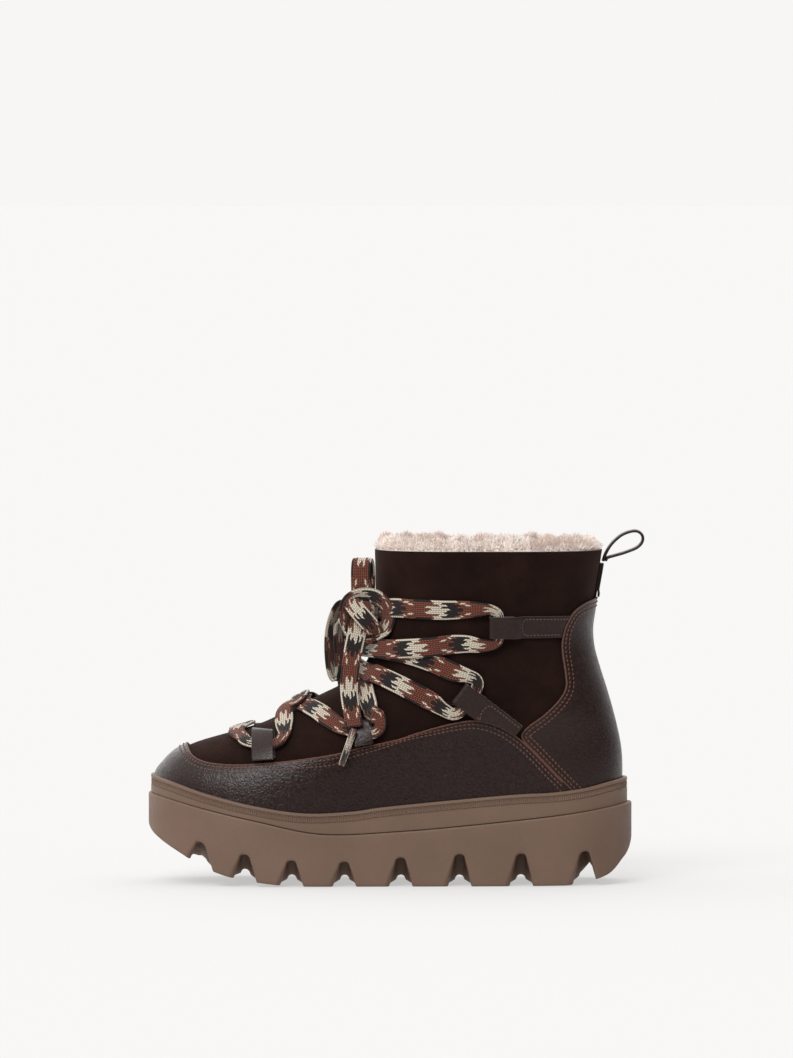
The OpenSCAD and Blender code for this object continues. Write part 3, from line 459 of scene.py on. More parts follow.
def new_material(name, **numbers):
    """Nodes of a new material, with numbers and colours set on its shader's own sockets."""
    g = Graph(bpy.data.materials.new(name))
    for key, value in numbers.items():
        socket = key.replace("_", " ").title().replace("Ior", "IOR")
        g.tree.nodes["Principled BSDF"].inputs[socket].default_value = value
    return g


def suede(name, dark, light):
    """Napped suede: brushed lighter and darker patches over a very fine fibre."""
    g = new_material(name, roughness=0.95, specular_ior_level=0.12, sheen_weight=0.22, sheen_roughness=0.55,
                     sheen_tint=linear(120, 84, 66))
    patches = g.noise(42, 4, 0.6)
    fibre = g.noise(2100, 3, 0.7)
    share = g.plus(g.ramp(patches, 0.35, 0.7, 0, 0.6), g.ramp(fibre, 0.3, 0.75, -0.15, 0.5))
    colour = g.blend(g.most(g.math("MINIMUM", share, 1.0), 0.0), dark, light)
    fine = g.bump(fibre, 0.22, 0.9)
    return g.finish(colour, g.bump(g.noise(160, 3), 0.35, 0.5, fine))


def leather(name, dark, light, grain=1.0, gloss=0.4):
    """Pebbled leather: cells of uneven size with creases between them; painted shade makes the creases darker
    and the cell tops lighter.
    """
    g = new_material(name, specular_ior_level=0.3)
    place = g.place()
    warp = g.add("TexNoise", {"Vector": place, "Scale": 260.0, "Detail": 2.0}).outputs["Color"]
    warped = g.add("VectorMath", {0: warp, 1: (0.0032,) * 3}, operation="MULTIPLY").outputs[0]
    warped = g.add("VectorMath", {0: place, 1: warped}, operation="ADD").outputs[0]
    pebble, small = (g.add("TexVoronoi", {"Vector": warped, "Scale": scale}).outputs["Distance"]
                     for scale in (620, 1500))
    height = g.plus(g.ramp(pebble, 0.0, 0.75, 1.0, 0.0), g.ramp(small, 0, 0.8, 0.35, 0))
    zone = g.ramp(g.noise(18, 2), 0.35, 0.65, 0.45, 1.0)
    normal = g.bump(height, 0.16 * grain, 0.8)
    normal = g.bump(g.times(g.noise(65, 3), zone), 0.8, 0.45, normal)
    # Painted shade in the grain: the colour goes from dark down in the creases to light on the pebble tops.
    colour = g.blend(g.times(g.ramp(height, 0.3, 1.25), zone), dark, light)
    rough = g.ramp(g.noise(300, 3), 0.3, 0.7, gloss - 0.06, gloss + 0.1)
    return g.finish(colour, normal, rough)


def rubber(name, base, shade):
    """Moulded rubber with a faintly mottled, satin face."""
    g = new_material(name, specular_ior_level=0.35)
    fleck = g.noise(900, 3, 0.6)
    mottle = g.plus(g.noise(22, 3), g.times(fleck, 0.4))
    colour = g.blend(g.ramp(mottle, 0.5, 0.95), base, shade)
    return g.finish(colour, g.bump(fleck, 0.05, 0.6), g.ramp(g.noise(120, 2), 0.3, 0.7, 0.5, 0.64))


def thread(name, dark, light):
    """Twisted thread; the leather's fibrous cut edges look the same."""
    g = new_material(name, specular_ior_level=0.3, sheen_weight=0.2)
    twist = g.noise(1400, 2)
    return g.finish(g.blend(twist, dark, light), g.bump(twist, 0.12), 0.65)


def uv_of(g):
    """The two numbers that a piece keeps for each of its points, as the docstrings below say."""
    return g.add("SeparateXYZ", {0: g.add("UVMap", uv_map="Weave").outputs[0]}).outputs[:2]


def braid(name, glossy=False):
    """Flat lace braided in three colours. UV: millimetres along the lace, share of the half width."""
    g = new_material(name, specular_ior_level=0.25, sheen_weight=0.12, roughness=0.8,
                     coat_weight=0.9 if glossy else 0.0, coat_roughness=0.08)
    s, v = uv_of(g)
    v = g.math("MINIMUM", g.most(v, -0.999), 0.999)
    column = g.times(g.plus(v, 1.0), YARNS / 2)
    index = g.math("FLOOR", column)
    inside = g.minus(g.math("FRACT", column), 0.5)
    flip = g.minus(g.times(g.math("MODULO", index, 2.0), 2.0), 1.0)
    slanted = g.plus(s, g.times(g.times(inside, flip), 1.5))
    cell = g.math("DIVIDE", slanted, YARN_PITCH)
    step = g.times(g.math("FLOOR", cell), YARN_PITCH)
    jag = g.times(g.math("SINE", g.times(index, 2.4)), 2.2)
    t = g.math("FRACT", g.math("DIVIDE", g.plus(step, jag), REPEAT))
    reach = g.math("DIVIDE", g.plus(index, 0.5), YARNS / 2)
    reach = g.math("ABSOLUTE", g.minus(reach, 1.0))
    middle = g.math("LESS_THAN", reach, 0.5)
    edge = g.math("GREATER_THAN", reach, 0.72)
    rest = g.minus(1.0, g.plus(middle, edge))

    def spots(*places):
        """Where the yarns of one colour show: a zone of the width, and from where to where in the repeat."""
        share = 0.0
        for zone, low, high in places:
            share = g.most(share, g.times(zone, g.between(t, low, high)))
        return share

    cream = spots((middle, 0.44, 0.74), (edge, 0.5, 0.97), (rest, 0.56, 0.7), (rest, -1, 0.08))
    black = spots((middle, 0.74, 1), (edge, 0.2, 0.5), (rest, 0.7, 0.93))
    colour = g.blend(g.noise(700, 1), linear(122, 62, 44), linear(164, 90, 66))
    colour = g.blend(cream, colour, linear(228, 216, 196))
    colour = g.blend(black, colour, linear(26, 24, 26))
    # Painted shade: the gaps between neighbouring yarns are darkened in colour, and the bump makes them low.
    ends = g.math("ABSOLUTE", g.minus(g.math("FRACT", cell), 0.5))
    sides = g.math("ABSOLUTE", inside)
    gap = g.most(g.ramp(ends, 0.16, 0.42), g.ramp(sides, 0.2, 0.42))
    # How much painted shade the gaps get: less on the cream yarns.
    depth = g.minus(1.0, g.times(cream, 0.35))
    colour = g.blend(g.times(g.times(gap, 0.98), depth), colour, linear(26, 14, 12))
    return g.finish(colour, g.bump(g.minus(1.0, gap), 0.3, 0.8))


def pile(name, shaded_root, body_tone, tip):
    """Wool pile, with painted shade darkening it at the roots. UV: a share that differs from tuft to tuft,
    and the share along the hair.
    """
    g = new_material(name, specular_ior_level=0.15, roughness=0.95, sheen_weight=0.35, sheen_roughness=0.6)
    tuft, up = uv_of(g)
    patch = g.ramp(g.noise(75, 3), 0.44, 0.6)
    # Painted shade: darker at the roots, lightening along the hair to its body tone.
    tone = g.blend(g.ramp(up, 0, 0.55), shaded_root, body_tone)
    tone = g.blend(g.times(g.ramp(up, 0.5, 1.0), g.times(patch, 0.85)), tone, tip)
    shade = g.add("HueSaturation", {"Value": g.ramp(tuft, 0, 1, 0.86, 1.1), "Color": tone})
    return g.finish(shade.outputs[0])


def woven(name, dark, light, pitch=0.5):
    """Plain woven tape or lining cloth."""
    g = new_material(name, specular_ior_level=0.2, roughness=0.85, sheen_weight=0.15)
    xyz = g.add("SeparateXYZ", {0: g.place()}).outputs
    warp, weft = (g.math("SINE", g.times(xyz[i], 2 * math.pi / (pitch * MM))) for i in (0, 2))
    cloth = g.ramp(g.times(warp, weft), -1, 1)
    return g.finish(g.blend(cloth, dark, light), g.bump(cloth, 0.15))


def metal(name, colour, rough):
    """Metal with a fine worn grain, duller in its hollows."""
    g = new_material(name, metallic=0.9)
    worn = g.noise(420, 4, 0.6)
    dull = tuple(0.55 * c for c in colour[:3]) + (1,)
    tone = g.blend(g.ramp(worn, 0.35, 0.7), colour, dull)
    return g.finish(tone, g.bump(worn, 0.03), g.ramp(worn, 0.3, 0.7, rough, rough + 0.2))


def board(name, dark, light):
    """Pressed fibre: board, stiffener or foam."""
    g = new_material(name, roughness=0.9)
    fibre = g.noise(500, 5, 0.7)
    return g.finish(g.blend(fibre, dark, light), g.bump(fibre, 0.1))


YARNS = 10            # yarn columns across the lace
YARN_PITCH = 1.5      # length of a yarn's stitch along the lace
REPEAT = 33           # length after which the lace's pattern repeats

SUEDE = suede("suede_dark_brown", linear(15, 5, 3), linear(38, 21, 17))
# Each leather's dark colour is painted shade in the grain's creases, its light colour the pebble tops.
LEATHER = leather("leather_pebbled", linear(27, 11, 8), linear(46, 26, 21), 1.0, 0.3)
LEATHER_SMOOTH = leather("leather_soft_grain", linear(30, 13, 9), linear(44, 26, 21), 0.6, 0.34)
LEATHER_STRAP = leather("leather_strap", linear(30, 13, 9), linear(46, 27, 22), 0.55, 0.32)
RAW_EDGE = thread("leather_cut_edge", linear(70, 38, 28), linear(104, 62, 46))
RAW_DARK = thread("leather_cut_edge_dark", linear(40, 29, 26), linear(62, 45, 38))
STITCH = thread("thread_red_brown", linear(76, 43, 32), linear(108, 68, 50))
RUBBER = rubber("rubber_taupe", linear(112, 89, 75), linear(101, 79, 66))
BRAID = braid("lace_braid")
AGLET = braid("lace_braid_in_clear_film", True)
# Each pile's first colour is painted shade at the roots of the hair.
PILE = pile("wool_pile", linear(206, 190, 178), linear(246, 236, 230), linear(196, 156, 130))
PILE_INSIDE = pile("wool_pile_lining", linear(186, 168, 154), linear(232, 220, 210), linear(200, 176, 158))
TAPE = woven("zip_tape", linear(30, 24, 22), linear(58, 48, 44))
GUARD = woven("zip_guard_cloth", linear(120, 108, 94), linear(160, 148, 132), 0.8)
FOAM = board("foam_quilting", linear(205, 196, 180), linear(236, 230, 216))
BOARD = board("fibre_board", linear(112, 88, 64), linear(158, 130, 98))
STIFFENER = board("stiffener_board", linear(150, 134, 108), linear(196, 180, 152))
ZIP_METAL = metal("zip_metal_brown", linear(132, 112, 92), 0.3)
STEEL = metal("steel_shank", linear(190, 190, 192), 0.35)


# ---- camera and light: the photograph's side view from far away, slightly above the ground ----
ELEVATION = math.radians(2)
CAMERA_AWAY = 6.0
PICTURE_HIGH = 0.605      # metres that the picture shows from top to bottom
AIM_Z = 0.2014


def set_camera():
    camera = placed("camera", bpy.data.cameras.new("camera"))
    camera.data.lens = camera.data.sensor_width * CAMERA_AWAY / PICTURE_HIGH
    camera.data.clip_end = 100
    high = AIM_Z + CAMERA_AWAY * math.sin(ELEVATION)
    camera.location = (0, -CAMERA_AWAY * math.cos(ELEVATION), high)
    camera.rotation_euler = (math.pi / 2 - ELEVATION, 0, 0)
    bpy.context.scene.camera = camera


def soft_sun(name, place, strength, spread):
    """Even light from far off, shining from place towards the boot, soft by its spread in degrees."""
    light = bpy.data.lights.new(name, "SUN")
    light.energy = strength
    light.angle = math.radians(spread)
    placed(name, light).rotation_euler = (-Vector(place)).to_track_quat("-Z", "Y").to_euler()


def set_light():
    """Pale paper behind the boot; for lighting, a studio bright overhead and dim in front."""
    world = bpy.data.worlds.new("studio")
    bpy.context.scene.world = world
    g = Graph(world)
    x, y, z = g.add("SeparateXYZ", {0: g.add("TexCoord").outputs["Generated"]}).outputs
    overhead = g.math("MULTIPLY_ADD", x, -0.5, g.math("MULTIPLY_ADD", y, 0.5, z))
    strength = g.ramp(overhead, -0.35, 0.9, STUDIO_DIM, STUDIO_BRIGHT)
    studio = g.add("Background", {"Color": PAPER, "Strength": strength}).outputs[0]
    paper = g.add("Background", {"Color": PAPER}).outputs[0]
    seen = g.add("LightPath").outputs["Is Camera Ray"]
    g.show(g.add("MixShader", {0: seen, 1: studio, 2: paper}), "World Output")
    soft_sun("key", (-0.35, -1.0, 0.85), KEY, 30)
    soft_sun("fill", (1.2, -0.8, 0.5), FILL, 60)
    soft_sun("back", (0.2, 1.4, 1.0), BACK_LIGHT, 60)
    bpy.context.scene.view_settings.view_transform = "Standard"


def set_floor():
    """A wide pale sweep that glows like lit paper and takes only a faint shadow."""
    g = Graph(bpy.data.materials.new("pale_paper"))
    shadow_taker = g.add("BsdfDiffuse", {"Color": (0.3, 0.3, 0.3, 1)})
    glow = g.add("Emission", {"Color": PAPER, "Strength": FLOOR_GLOW})
    g.show(g.add("AddShader", {0: shadow_taker.outputs[0], 1: glow.outputs[0]}), "Material Output")
    mesh = bpy.data.meshes.new("floor")
    corners = [(-1, -1), (1, -1), (1, 1), (-1, 1)]
    mesh.from_pydata([(x * FLOOR_HALF, y * FLOOR_HALF, 0) for x, y in corners], [], [(0, 1, 2, 3)])
    mesh.materials.append(g.owner)
    floor = placed("floor", mesh)
    floor.location.z = FLOOR_Z


PAPER = linear(247, 246, 244)
FLOOR_HALF = 150.0        # metres, so that its far edge lies on the horizon
FLOOR_Z = -0.0004
FLOOR_GLOW = 0.53
STUDIO_DIM, STUDIO_BRIGHT = 0.05, 1.5
KEY, FILL, BACK_LIGHT = 1.7, 0.12, 0.4
set_camera()
set_light()
set_floor()


# ---- lace ----
REST_H = SUEDE_T + 0.9 + LACE_T / 2              # middle of the lace where it lies on the suede
HELD_H = LAP_OFF + 0.15 + STRAP_T + 0.5 + LACE_T / 2       # inside a loop
OVER_H = REST_H + LACE_T + 0.6                   # over another pass
SLIM = 7                                         # width of the lace inside a loop
LACE_STEP = 1.1                                  # between its rings of LACE_AROUND points
LACE_AROUND = 44
YARN_RISE = 0.16
L, M, R, H, V = LATERAL, MEDIAL, REST_H, HELD_H, OVER_H


# The lace runs in two halves, each from the knot to the middle of the toe. Points beside the boot
# are [side, x, z, height over the body, width]; points round the front are [turn, z, height].
def under_mid_loop(side):
    """The stretch that both halves share, down through a middle loop."""
    return [
        [side, -12.4, 100.6, R + 0.8], [side, -10, 95.6, R + 0.6, 9], [side, -9.2, 90.8, H, SLIM],
        [side, -12, 86.8, H, SLIM], [side, -18.5, 85.6, H, SLIM], [side, -25, 86, H, SLIM],
        [side, -31, 88, R + 0.5, 9], [side, -37, 92, R],
    ]


def under_toe_loop(side):
    """And the one through a toe loop."""
    return [
        [side, -62.4, 84.4, R + 0.6, 8], [side, -64.8, 79.4, H, SLIM], [side, -70.4, 77.2, H, SLIM],
        [side, -77, 77, H, SLIM], [side, -83.6, 77.8, H, SLIM], [side, -87.6, 81, R + 0.4, 8],
    ]


LACE_NEAR = [
    [L, -9, 155.4, R + 0.6], [L, -4, 157, R + 0.2], [L, 2, 157.8, R], [L, 14, 157.4, R],
    [L, 27, 157, R], [L, 40, 157.4, R, 10], [L, 47, 157.6, H, 8],
    [L, 53.4, 157.4, H, 6], [L, 57.4, 155.4, H, 5.4], [L, 58.6, 151.6, H, 5.4],
    [L, 58.6, 147.3, H, 5.4], [L, 58.6, 143, H, 5.4], [L, 57.6, 139.2, H, 5.4],
    [L, 53.8, 137.2, H, 6], [L, 47.4, 137, H, 8], [L, 40, 137.8, R, 10], [L, 30, 137.4, R],
    [L, 20, 136, V], [L, 10, 134.8, V], [L, 2, 133.8, V], [-30, 133.4, V], [-20, 133.2, V],
    [-10, 133, V], [0, 132.6, V], [10, 132, V], [20, 131, V], [30, 129.8, V],
    [M, 2.6, 130.2, R + 1, 8], [M, 9, 128.2, H, SLIM], [M, 12, 124, H, SLIM],
    [M, 9.6, 119.6, H, SLIM], [M, 6.2, 115.4, H, SLIM], [M, 2.8, 111.2, H, SLIM],
    [M, -1.4, 107.2, H, SLIM], [M, -7, 108.2, R + 0.4, 8], [M, -11.4, 112, R + 0.9],
    [M, -16, 114.4, R + 0.6], [20, 116.2, R + 0.2], [10, 117.4, R], [0, 118.4, R], [-10, 118, R],
    [-20, 116, R + 0.2], [L, -17, 112.4, R + 0.2], [L, -15, 107, R + 0.4],
    *under_mid_loop(L), [L, -43, 96, R], [-26, 98.4, R], [-18, 99.2, R], [-9, 100.2, R + 0.2],
    [0, 101, R + 0.2], [8, 100.2, R + 0.2], [15, 98, R], [M, -60, 95.4, R], [M, -62.6, 89.4, R],
    *under_toe_loop(M), [9, 85, R], [0, 86.6, R],
]
LACE_FAR = [
    [-22, 155.6, R + 2.2], [-12, 156.8, R + 0.8], [2, 158, R + 0.3], [11, 158, R + 0.3],
    [20, 158, R + 0.3], [28, 158, R + 0.4], [37, 158, R + 0.3], [M, -5, 158, R], [M, 0, 158.2, R],
    [M, 6, 158.8, R + 0.6, 9], [M, 12, 158.8, H, SLIM], [M, 16.6, 156.2, H, SLIM],
    [M, 17.6, 151.4, H, SLIM], [M, 17.6, 147, H, SLIM], [M, 17.6, 142.6, H, SLIM],
    [M, 16, 137.6, H, SLIM], [M, 11, 135.6, R + 0.8, 8], [M, 4, 136.6, R], [28, 137.4, R],
    [18, 137.4, R], [9, 137, R], [0, 136.4, R], [-9, 135.6, R], [-18, 134.6, R], [-28, 133.4, R],
    [-38, 132.6, R + 0.2], [L, 6, 131.6, R], [L, 14, 129.4, R], [L, 23, 126, R], [L, 32, 122, R],
    [L, 40, 120, H, 8], [L, 45.4, 117.4, H, SLIM], [L, 45.4, 112, H, SLIM],
    [L, 41, 106.4, H, SLIM], [L, 37.2, 100.6, H, SLIM], [L, 32.4, 98, H, SLIM],
    [L, 26.4, 100.6, R + 0.6, 8], [L, 19, 105.6, R], [L, 9, 110.6, R], [L, -1, 114.6, R + 0.4],
    [L, -9, 117, V], [-28, 118, V], [-20, 118.8, V], [-10, 119.6, V], [0, 119.6, V],
    [10, 118.6, V], [20, 116.4, V], [M, -17, 112.4, V], [M, -15, 107, R + 1],
    *under_mid_loop(M), [M, -43, 96, R + 1], [26, 98.4, V], [18, 99.2, V], [9, 100.2, V + 0.2],
    [0, 101, V + 0.2], [-8, 100.2, V + 0.2], [-15, 98, V], [L, -60, 95.4, V],
    [L, -62.6, 89.4, R + 0.6], *under_toe_loop(L), [-9, 85, R], [0, 86.6, R],
]


def lace_line(path):
    """Middle line of a half of the lace, the direction of its width, and its width."""
    rows = []
    for point in path:
        if len(point) > 3:
            side, x, z, height, *width = point
            turn = side * float(turn_at(x, z))
        else:
            turn, z, height, *width = point
        rows.append([turn, z, height, *(width or [LACE_W])])
    turn, z, height, wide = through(rows, 10).T
    line = skin(turn, z, height)
    across = unit(np.cross(body_normal(turn, z), np.gradient(line, axis=0)))
    return line, across, wide[:, None]


def ellipse(turn, wide_power, high_power):
    """Points round a section from -1 to 1 each way; a power under 1 squares its sides off."""
    return [np.sign(w) * np.abs(w) ** power
            for w, power in ((np.cos(turn), wide_power), (np.sin(turn), high_power))]


def lace_piece(name, line, across, wide, node=None, body_name="boot", thick=LACE_T, start=0.0, tapered=0.0):
    """Flat braided lace along a line, with raised yarn columns. Returns the piece and its line.

    start is where its pattern starts along the braid, and tapered how much it has narrowed at its end."""
    line, across, wide = spaced(line, LACE_STEP, across, wide)
    ahead = unit(np.gradient(line, axis=0))
    across = unit(across - ahead * np.sum(across * ahead, -1, keepdims=True))
    t = np.linspace(0, 2 * np.pi, LACE_AROUND, endpoint=False)
    share, hump = ellipse(t, 0.75, 0.7)
    hump = hump * (1 + YARN_RISE * np.abs(np.sin(np.pi * YARNS / 2 * (share + 1))))
    slim_by = 1 - tapered * np.linspace(0, 1, len(line))[:, None]
    half = np.broadcast_to(thick / 2 * hump, (len(line), len(t)))
    profile = np.stack([wide * slim_by / 2 * share, half], -1)
    s = np.broadcast_to((along(line) + start)[:, None], half.shape)
    uv = np.stack([s, np.broadcast_to(share, s.shape)], -1)
    obj = piece(name, swept(line, across, np.cross(ahead, across), profile), tube_faces(*half.shape), BRAID,
                node, body_name, uv=uv, crease=60)
    return obj, line * MM


def lay_lace():
    """The lace's two halves. The pattern on each starts at its own place along the braid."""
    halves = (("lace_near_half", LACE_NEAR, 4, 0.585), ("lace_far_half", LACE_FAR, 21, 0.635))
    for name, path, start, length in halves:
        obj, line = lace_piece(name, *lace_line(path), node="lace", start=start)


lay_lace()


# Ends of the lace, listed point by point. The near tail and bow hang on the outer side, the far ones behind
# them.
TAIL_NEAR = [
    [-21.4, -25, 152.6], [-22.2, -29.6, 148.2], [-22.4, -31, 144], [-24.6, -33, 134],
    [-26.4, -35, 122], [-27, -38.6, 111], [-25.6, -44, 100], [-24, -48.6, 91],
]
TAIL_FAR = [
    [-22, -12, 152], [-23, -6, 149.6], [-24.6, -2.6, 146], [-27.6, 4, 136], [-29, 16.4, 126],
    [-29, 29, 117], [-28.4, 40, 106], [-27, 48.4, 96], [-26.4, 50.4, 88],
]
BOW_NEAR = [
    [-19, -26, 152.6], [-19.6, -28.6, 160], [-20.2, -30, 166.2], [-20.4, -31.5, 172], [-20.4, -31, 179],
    [-20, -29, 183.6], [-19, -25.5, 184.8], [-18, -22.4, 182], [-17.6, -21.5, 176], [-17.6, -21.5, 170],
    [-18, -21, 166.8], [-18.6, -20.6, 160], [-19, -20.4, 152.6],
]
BOW_FAR = [
    [-24, -17, 157], [-28, -15, 160.4], [-31.6, -14, 159.6], [-35, -13.6, 154], [-37.6, -13.4, 144],
    [-38, -14, 132], [-36.8, -14.6, 121], [-34.2, -15, 116], [-32, -14.6, 121], [-32.6, -14, 132],
    [-33, -13.6, 142], [-31.8, -13, 147.4], [-27, -14, 151],
]
AGLETS = {
    "near": ([-24, -49.2, 89.8], [-31.4, -50.6, 68.6]),
    "far": ([-26.4, 50.8, 86.6], [-31, 51.2, 65.8]),
}
AGLET_R = 2.0
KNOT = np.array([-20.0, -21.0, 154.5])
KNOT_FRONT = np.array([4.0, -3.0, -0.5])      # from there to the middle of the turns round it
KNOT_SIZE = (13.5, 6.6, 9.8)                  # half sizes of its bunched middle
KNOT_YAW = math.radians(113)
KNOT_LACE_T = 2.4


def lay_end(name, points, across, node, body_name, start, with_pieces=(), tapered=0.0):
    line = through(points, 10)
    across = np.broadcast_to(np.array(across, float), line.shape)
    wide = np.full((len(line), 1), LACE_W)
    obj, path = lace_piece(name, line, across, wide, node, body_name, start=start, tapered=tapered)


def aglet(side, body_name):
    """Clear film tube over the end of the braid, pinched a little at its rim."""
    start, end = (np.array(p, float) for p in AGLETS[side])
    share = np.array([0, 0.02, 0.06, 0.5, 0.94, 0.98, 1.0])
    radius = AGLET_R * np.array([0.7, 0.9, 1.0, 0.97, 0.98, 0.9, 0.72])
    line = start + (end - start) * share[:, None]
    turn = np.linspace(0, 2 * np.pi, 28, endpoint=False)
    ring = np.stack([np.cos(turn), 0.85 * np.sin(turn)], -1)
    ahead = np.tile(unit(end - start), (len(line), 1))
    side_way = unit(np.cross(ahead, [0, 1, 0]))
    points = swept(line, side_way, np.cross(ahead, side_way), ring[None] * radius[:, None, None])
    uv = np.stack(np.broadcast_arrays(along(line)[:, None] + 12, np.cos(turn)[None]), -1)
    return piece("aglet_film_" + side, points, tube_faces(len(line), len(turn)), AGLET,
                 "aglet_" + side, body_name, uv=uv, crease=60)


def lay_ends():
    lay_end("lace_tail_near_braid", TAIL_NEAR, (1, 0, 0), "lace_tail_near", "near_tail",
            9, [aglet("near", "near_tail")], 0.12)
    lay_end("lace_tail_far_braid", TAIL_FAR, (1, 0, 0), "lace_tail_far", "far_tail",
            15, [aglet("far", "far_tail")], 0.12)
    lay_end("bow_loop_near_braid", BOW_NEAR, (1, 0, 0), "bow_loop_near", "near_bow",
            17)
    lay_end("bow_loop_far_braid", BOW_FAR, (0.5, 0.86, 0), "bow_loop_far", "far_bow",
            2)


# Turns of the knot, seen from its front: [right along +X, up, towards the viewer along -Y].
KNOT_WRAP = [
    [-11, -8, 2], [-13, 0, 3], [-11, 7.5, 4.5], [-4.5, 11, 6], [3.5, 10.5, 7], [9.5, 5.5, 7],
    [11.5, -1.5, 6], [9.5, -8, 5], [4, -11.5, 3],
]
KNOT_TONGUE = [
    [-9.5, 9, 4], [-8.5, 5.5, 7.6], [-5.5, 1.5, 9.8], [-1.5, -3, 11], [1.8, -7, 10.4], [3.6, -9.6, 7.6],
    [3.4, -10.4, 4], [1, -8, 1],
]
KNOT_UNDER = [
    [-13, -3, 0], [-9, -10.5, 2.4], [-2, -13, 3.4], [6, -11.5, 2.4], [12.5, -7, 0.4], [17, -3, -3],
]


def knot_band(name, points, tilt, wide, start):
    """One turn of lace in the knot; tilt, in degrees, turns its face from the viewer to the outside."""
    line = through(points, 10)
    line = np.stack([line[:, 0], -line[:, 2], line[:, 1]], -1) + KNOT + KNOT_FRONT
    ahead = unit(np.gradient(line, axis=0))
    flat = unit(np.cross(ahead, [0, -1, 0]))
    angle = np.radians(tilt)
    across = flat * np.cos(angle) + np.cross(ahead, flat) * np.sin(angle)
    lace_piece(name, line, across, np.full((len(line), 1), wide), thick=KNOT_LACE_T, start=start)


def knot_core():
    """Lace bunched up in the middle of the knot: an egg with folds along it, turned outwards."""
    p, q = np.meshgrid(np.radians(np.arange(4, 177, 8)), np.radians(np.arange(0, 360, 8)), indexing="ij")
    long, deep, high = KNOT_SIZE
    folds = 1 + 0.06 * np.sin(5 * q + 2 * p)
    x, y = -long * np.cos(p), deep * folds * np.sin(p) * np.cos(q)
    ahead, sideways = math.cos(KNOT_YAW), math.sin(KNOT_YAW)
    points = [x * ahead - y * sideways, x * sideways + y * ahead, high * folds * np.sin(p) * np.sin(q)]
    uv = np.stack([np.degrees(q) / 8, np.cos(p * 3)], -1)
    faces = [f[::-1] for f in tube_faces(*q.shape)]
    piece("lace_knot_core", np.stack(points, -1) + KNOT, faces, BRAID, "lace_knot", uv=uv, crease=60)


def tie_knot():
    knot_core()
    knot_band("lace_knot_wrap", KNOT_WRAP, 38, 9.5, 30)
    knot_band("lace_knot_tongue", KNOT_TONGUE, 0, 10, 11.5)
    knot_band("lace_knot_under", KNOT_UNDER, -30, 9.5, 19)


lay_ends()
tie_knot()


# ---- sole ----
# Height that each tread groove reaches at the side of the sole: [x, z].
GROOVE_TOP = [
    [-111, 24.4], [-86, 18], [-59.5, 14.8], [-29.5, 14], [2.5, 16.2], [36, 18], [71, 18.3], [107, 19.3],
]
GROOVE_HALF = 6.5
GROOVE_TIP = 2.6
GROOVE_MIDDLE_H = 5      # height of a groove in the middle of the sole
SCOOP = 27               # how far a groove's full height runs in from the side
SPINE = (-92, 84)        # ends of the sole's middle line, which the rows of points run in to


def outline(count):
    """The upper's outline in plan at even steps: points, outward directions and distance along it."""
    a = np.linspace(0, 360, 1441)
    base = body(a, PLAN_Z)[:, :2]
    line = spaced(base, along(base)[-1] / count)[:-1]
    ahead = unit(np.roll(line, -1, 0) - np.roll(line, 1, 0))
    for _ in range(3):
        ahead = unit(ahead + np.roll(ahead, 1, 0) + np.roll(ahead, -1, 0))
    out = np.stack([-ahead[:, 1], ahead[:, 0]], -1)
    s = np.arange(len(line)) * np.linalg.norm(line[1] - line[0])
    return line, out, s


def grown(line, out, off, heel):
    """The outline moved outwards, and stretched backwards at the heel."""
    p = line + out * np.broadcast_to(off, len(line))[:, None]
    p[:, 0] += heel * smooth(60, 125, p[:, 0])
    return p


RIB_PITCH = 1.05
RIB_DEPTH = 0.22
# Profile of the midsole's wall: [distance below its top edge, distance in from its face, rib share].
WALL = [
    [6.0, -3.2, 0], [0.7, -3.0, 0], [0.05, -2.2, 0], [0.0, -0.7, 0], [0.25, -0.15, 0], [0.8, 0, 0],
    [1.7, 0, 0], [1.9, -0.5, 0], [2.35, -0.5, 0], [2.5, -0.12, 0], [2.75, -0.12, 1], [4.8, -0.12, 1],
    [5.0, -0.12, 0], [5.15, -0.5, 0], [5.6, -0.5, 0], [5.8, 0, 0], [8.0, 0.0, 0],
]


def midsole_piece():
    line, out, s = outline(2600)
    face = LEATHER_OFF + WELT_W
    ribs = np.cos(2 * np.pi * s / (s[-1] / round(s[-1] / RIB_PITCH))) - 1
    x = grown(line, out, face, HEEL_STRETCH / 2)[:, 0]
    top, low = curve(x, WALL_TOP), curve(x, SOLE_LINE)
    rows = [(top - down, inward + RIB_DEPTH * rib * ribs) for down, inward, rib in WALL]
    rows += [(low + up, inward) for up, inward in ((0.5, 0), (0.1, -0.3), (0.1, -5))]
    grid = np.array([np.column_stack([grown(line, out, face + off, HEEL_STRETCH / 2), z])
                     for z, off in reversed(rows)])
    piece("midsole_band", grid, grid_faces(*grid.shape[:2], True, True), RUBBER, "midsole", crease=34)


def groove_depth(x, into):
    """How far the tread's face lies above its line at x, at a distance in from the side."""
    deepest = np.zeros_like(x)
    for at, top in GROOVE_TOP:
        # Each groove widens towards the side, more in front of it than behind.
        flare = 1 + 0.42 * np.exp(-into / 1.6) * (x < at) + 0.2 * np.exp(-into / 1.2) * (x >= at)
        t = np.abs(x - at) / flare
        high = top - curve(at, TREAD)
        high = mix(high, GROOVE_MIDDLE_H, smooth(SCOOP - 5, SCOOP, into))
        arch = high - GROOVE_TIP + np.sqrt(np.maximum(GROOVE_TIP**2 - t**2, 0))
        slope = (high - GROOVE_TIP) * (GROOVE_HALF - t) / (GROOVE_HALF - GROOVE_TIP)
        deepest = np.maximum(deepest, np.where(t < GROOVE_TIP, arch, np.maximum(slope, 0)))
    return deepest


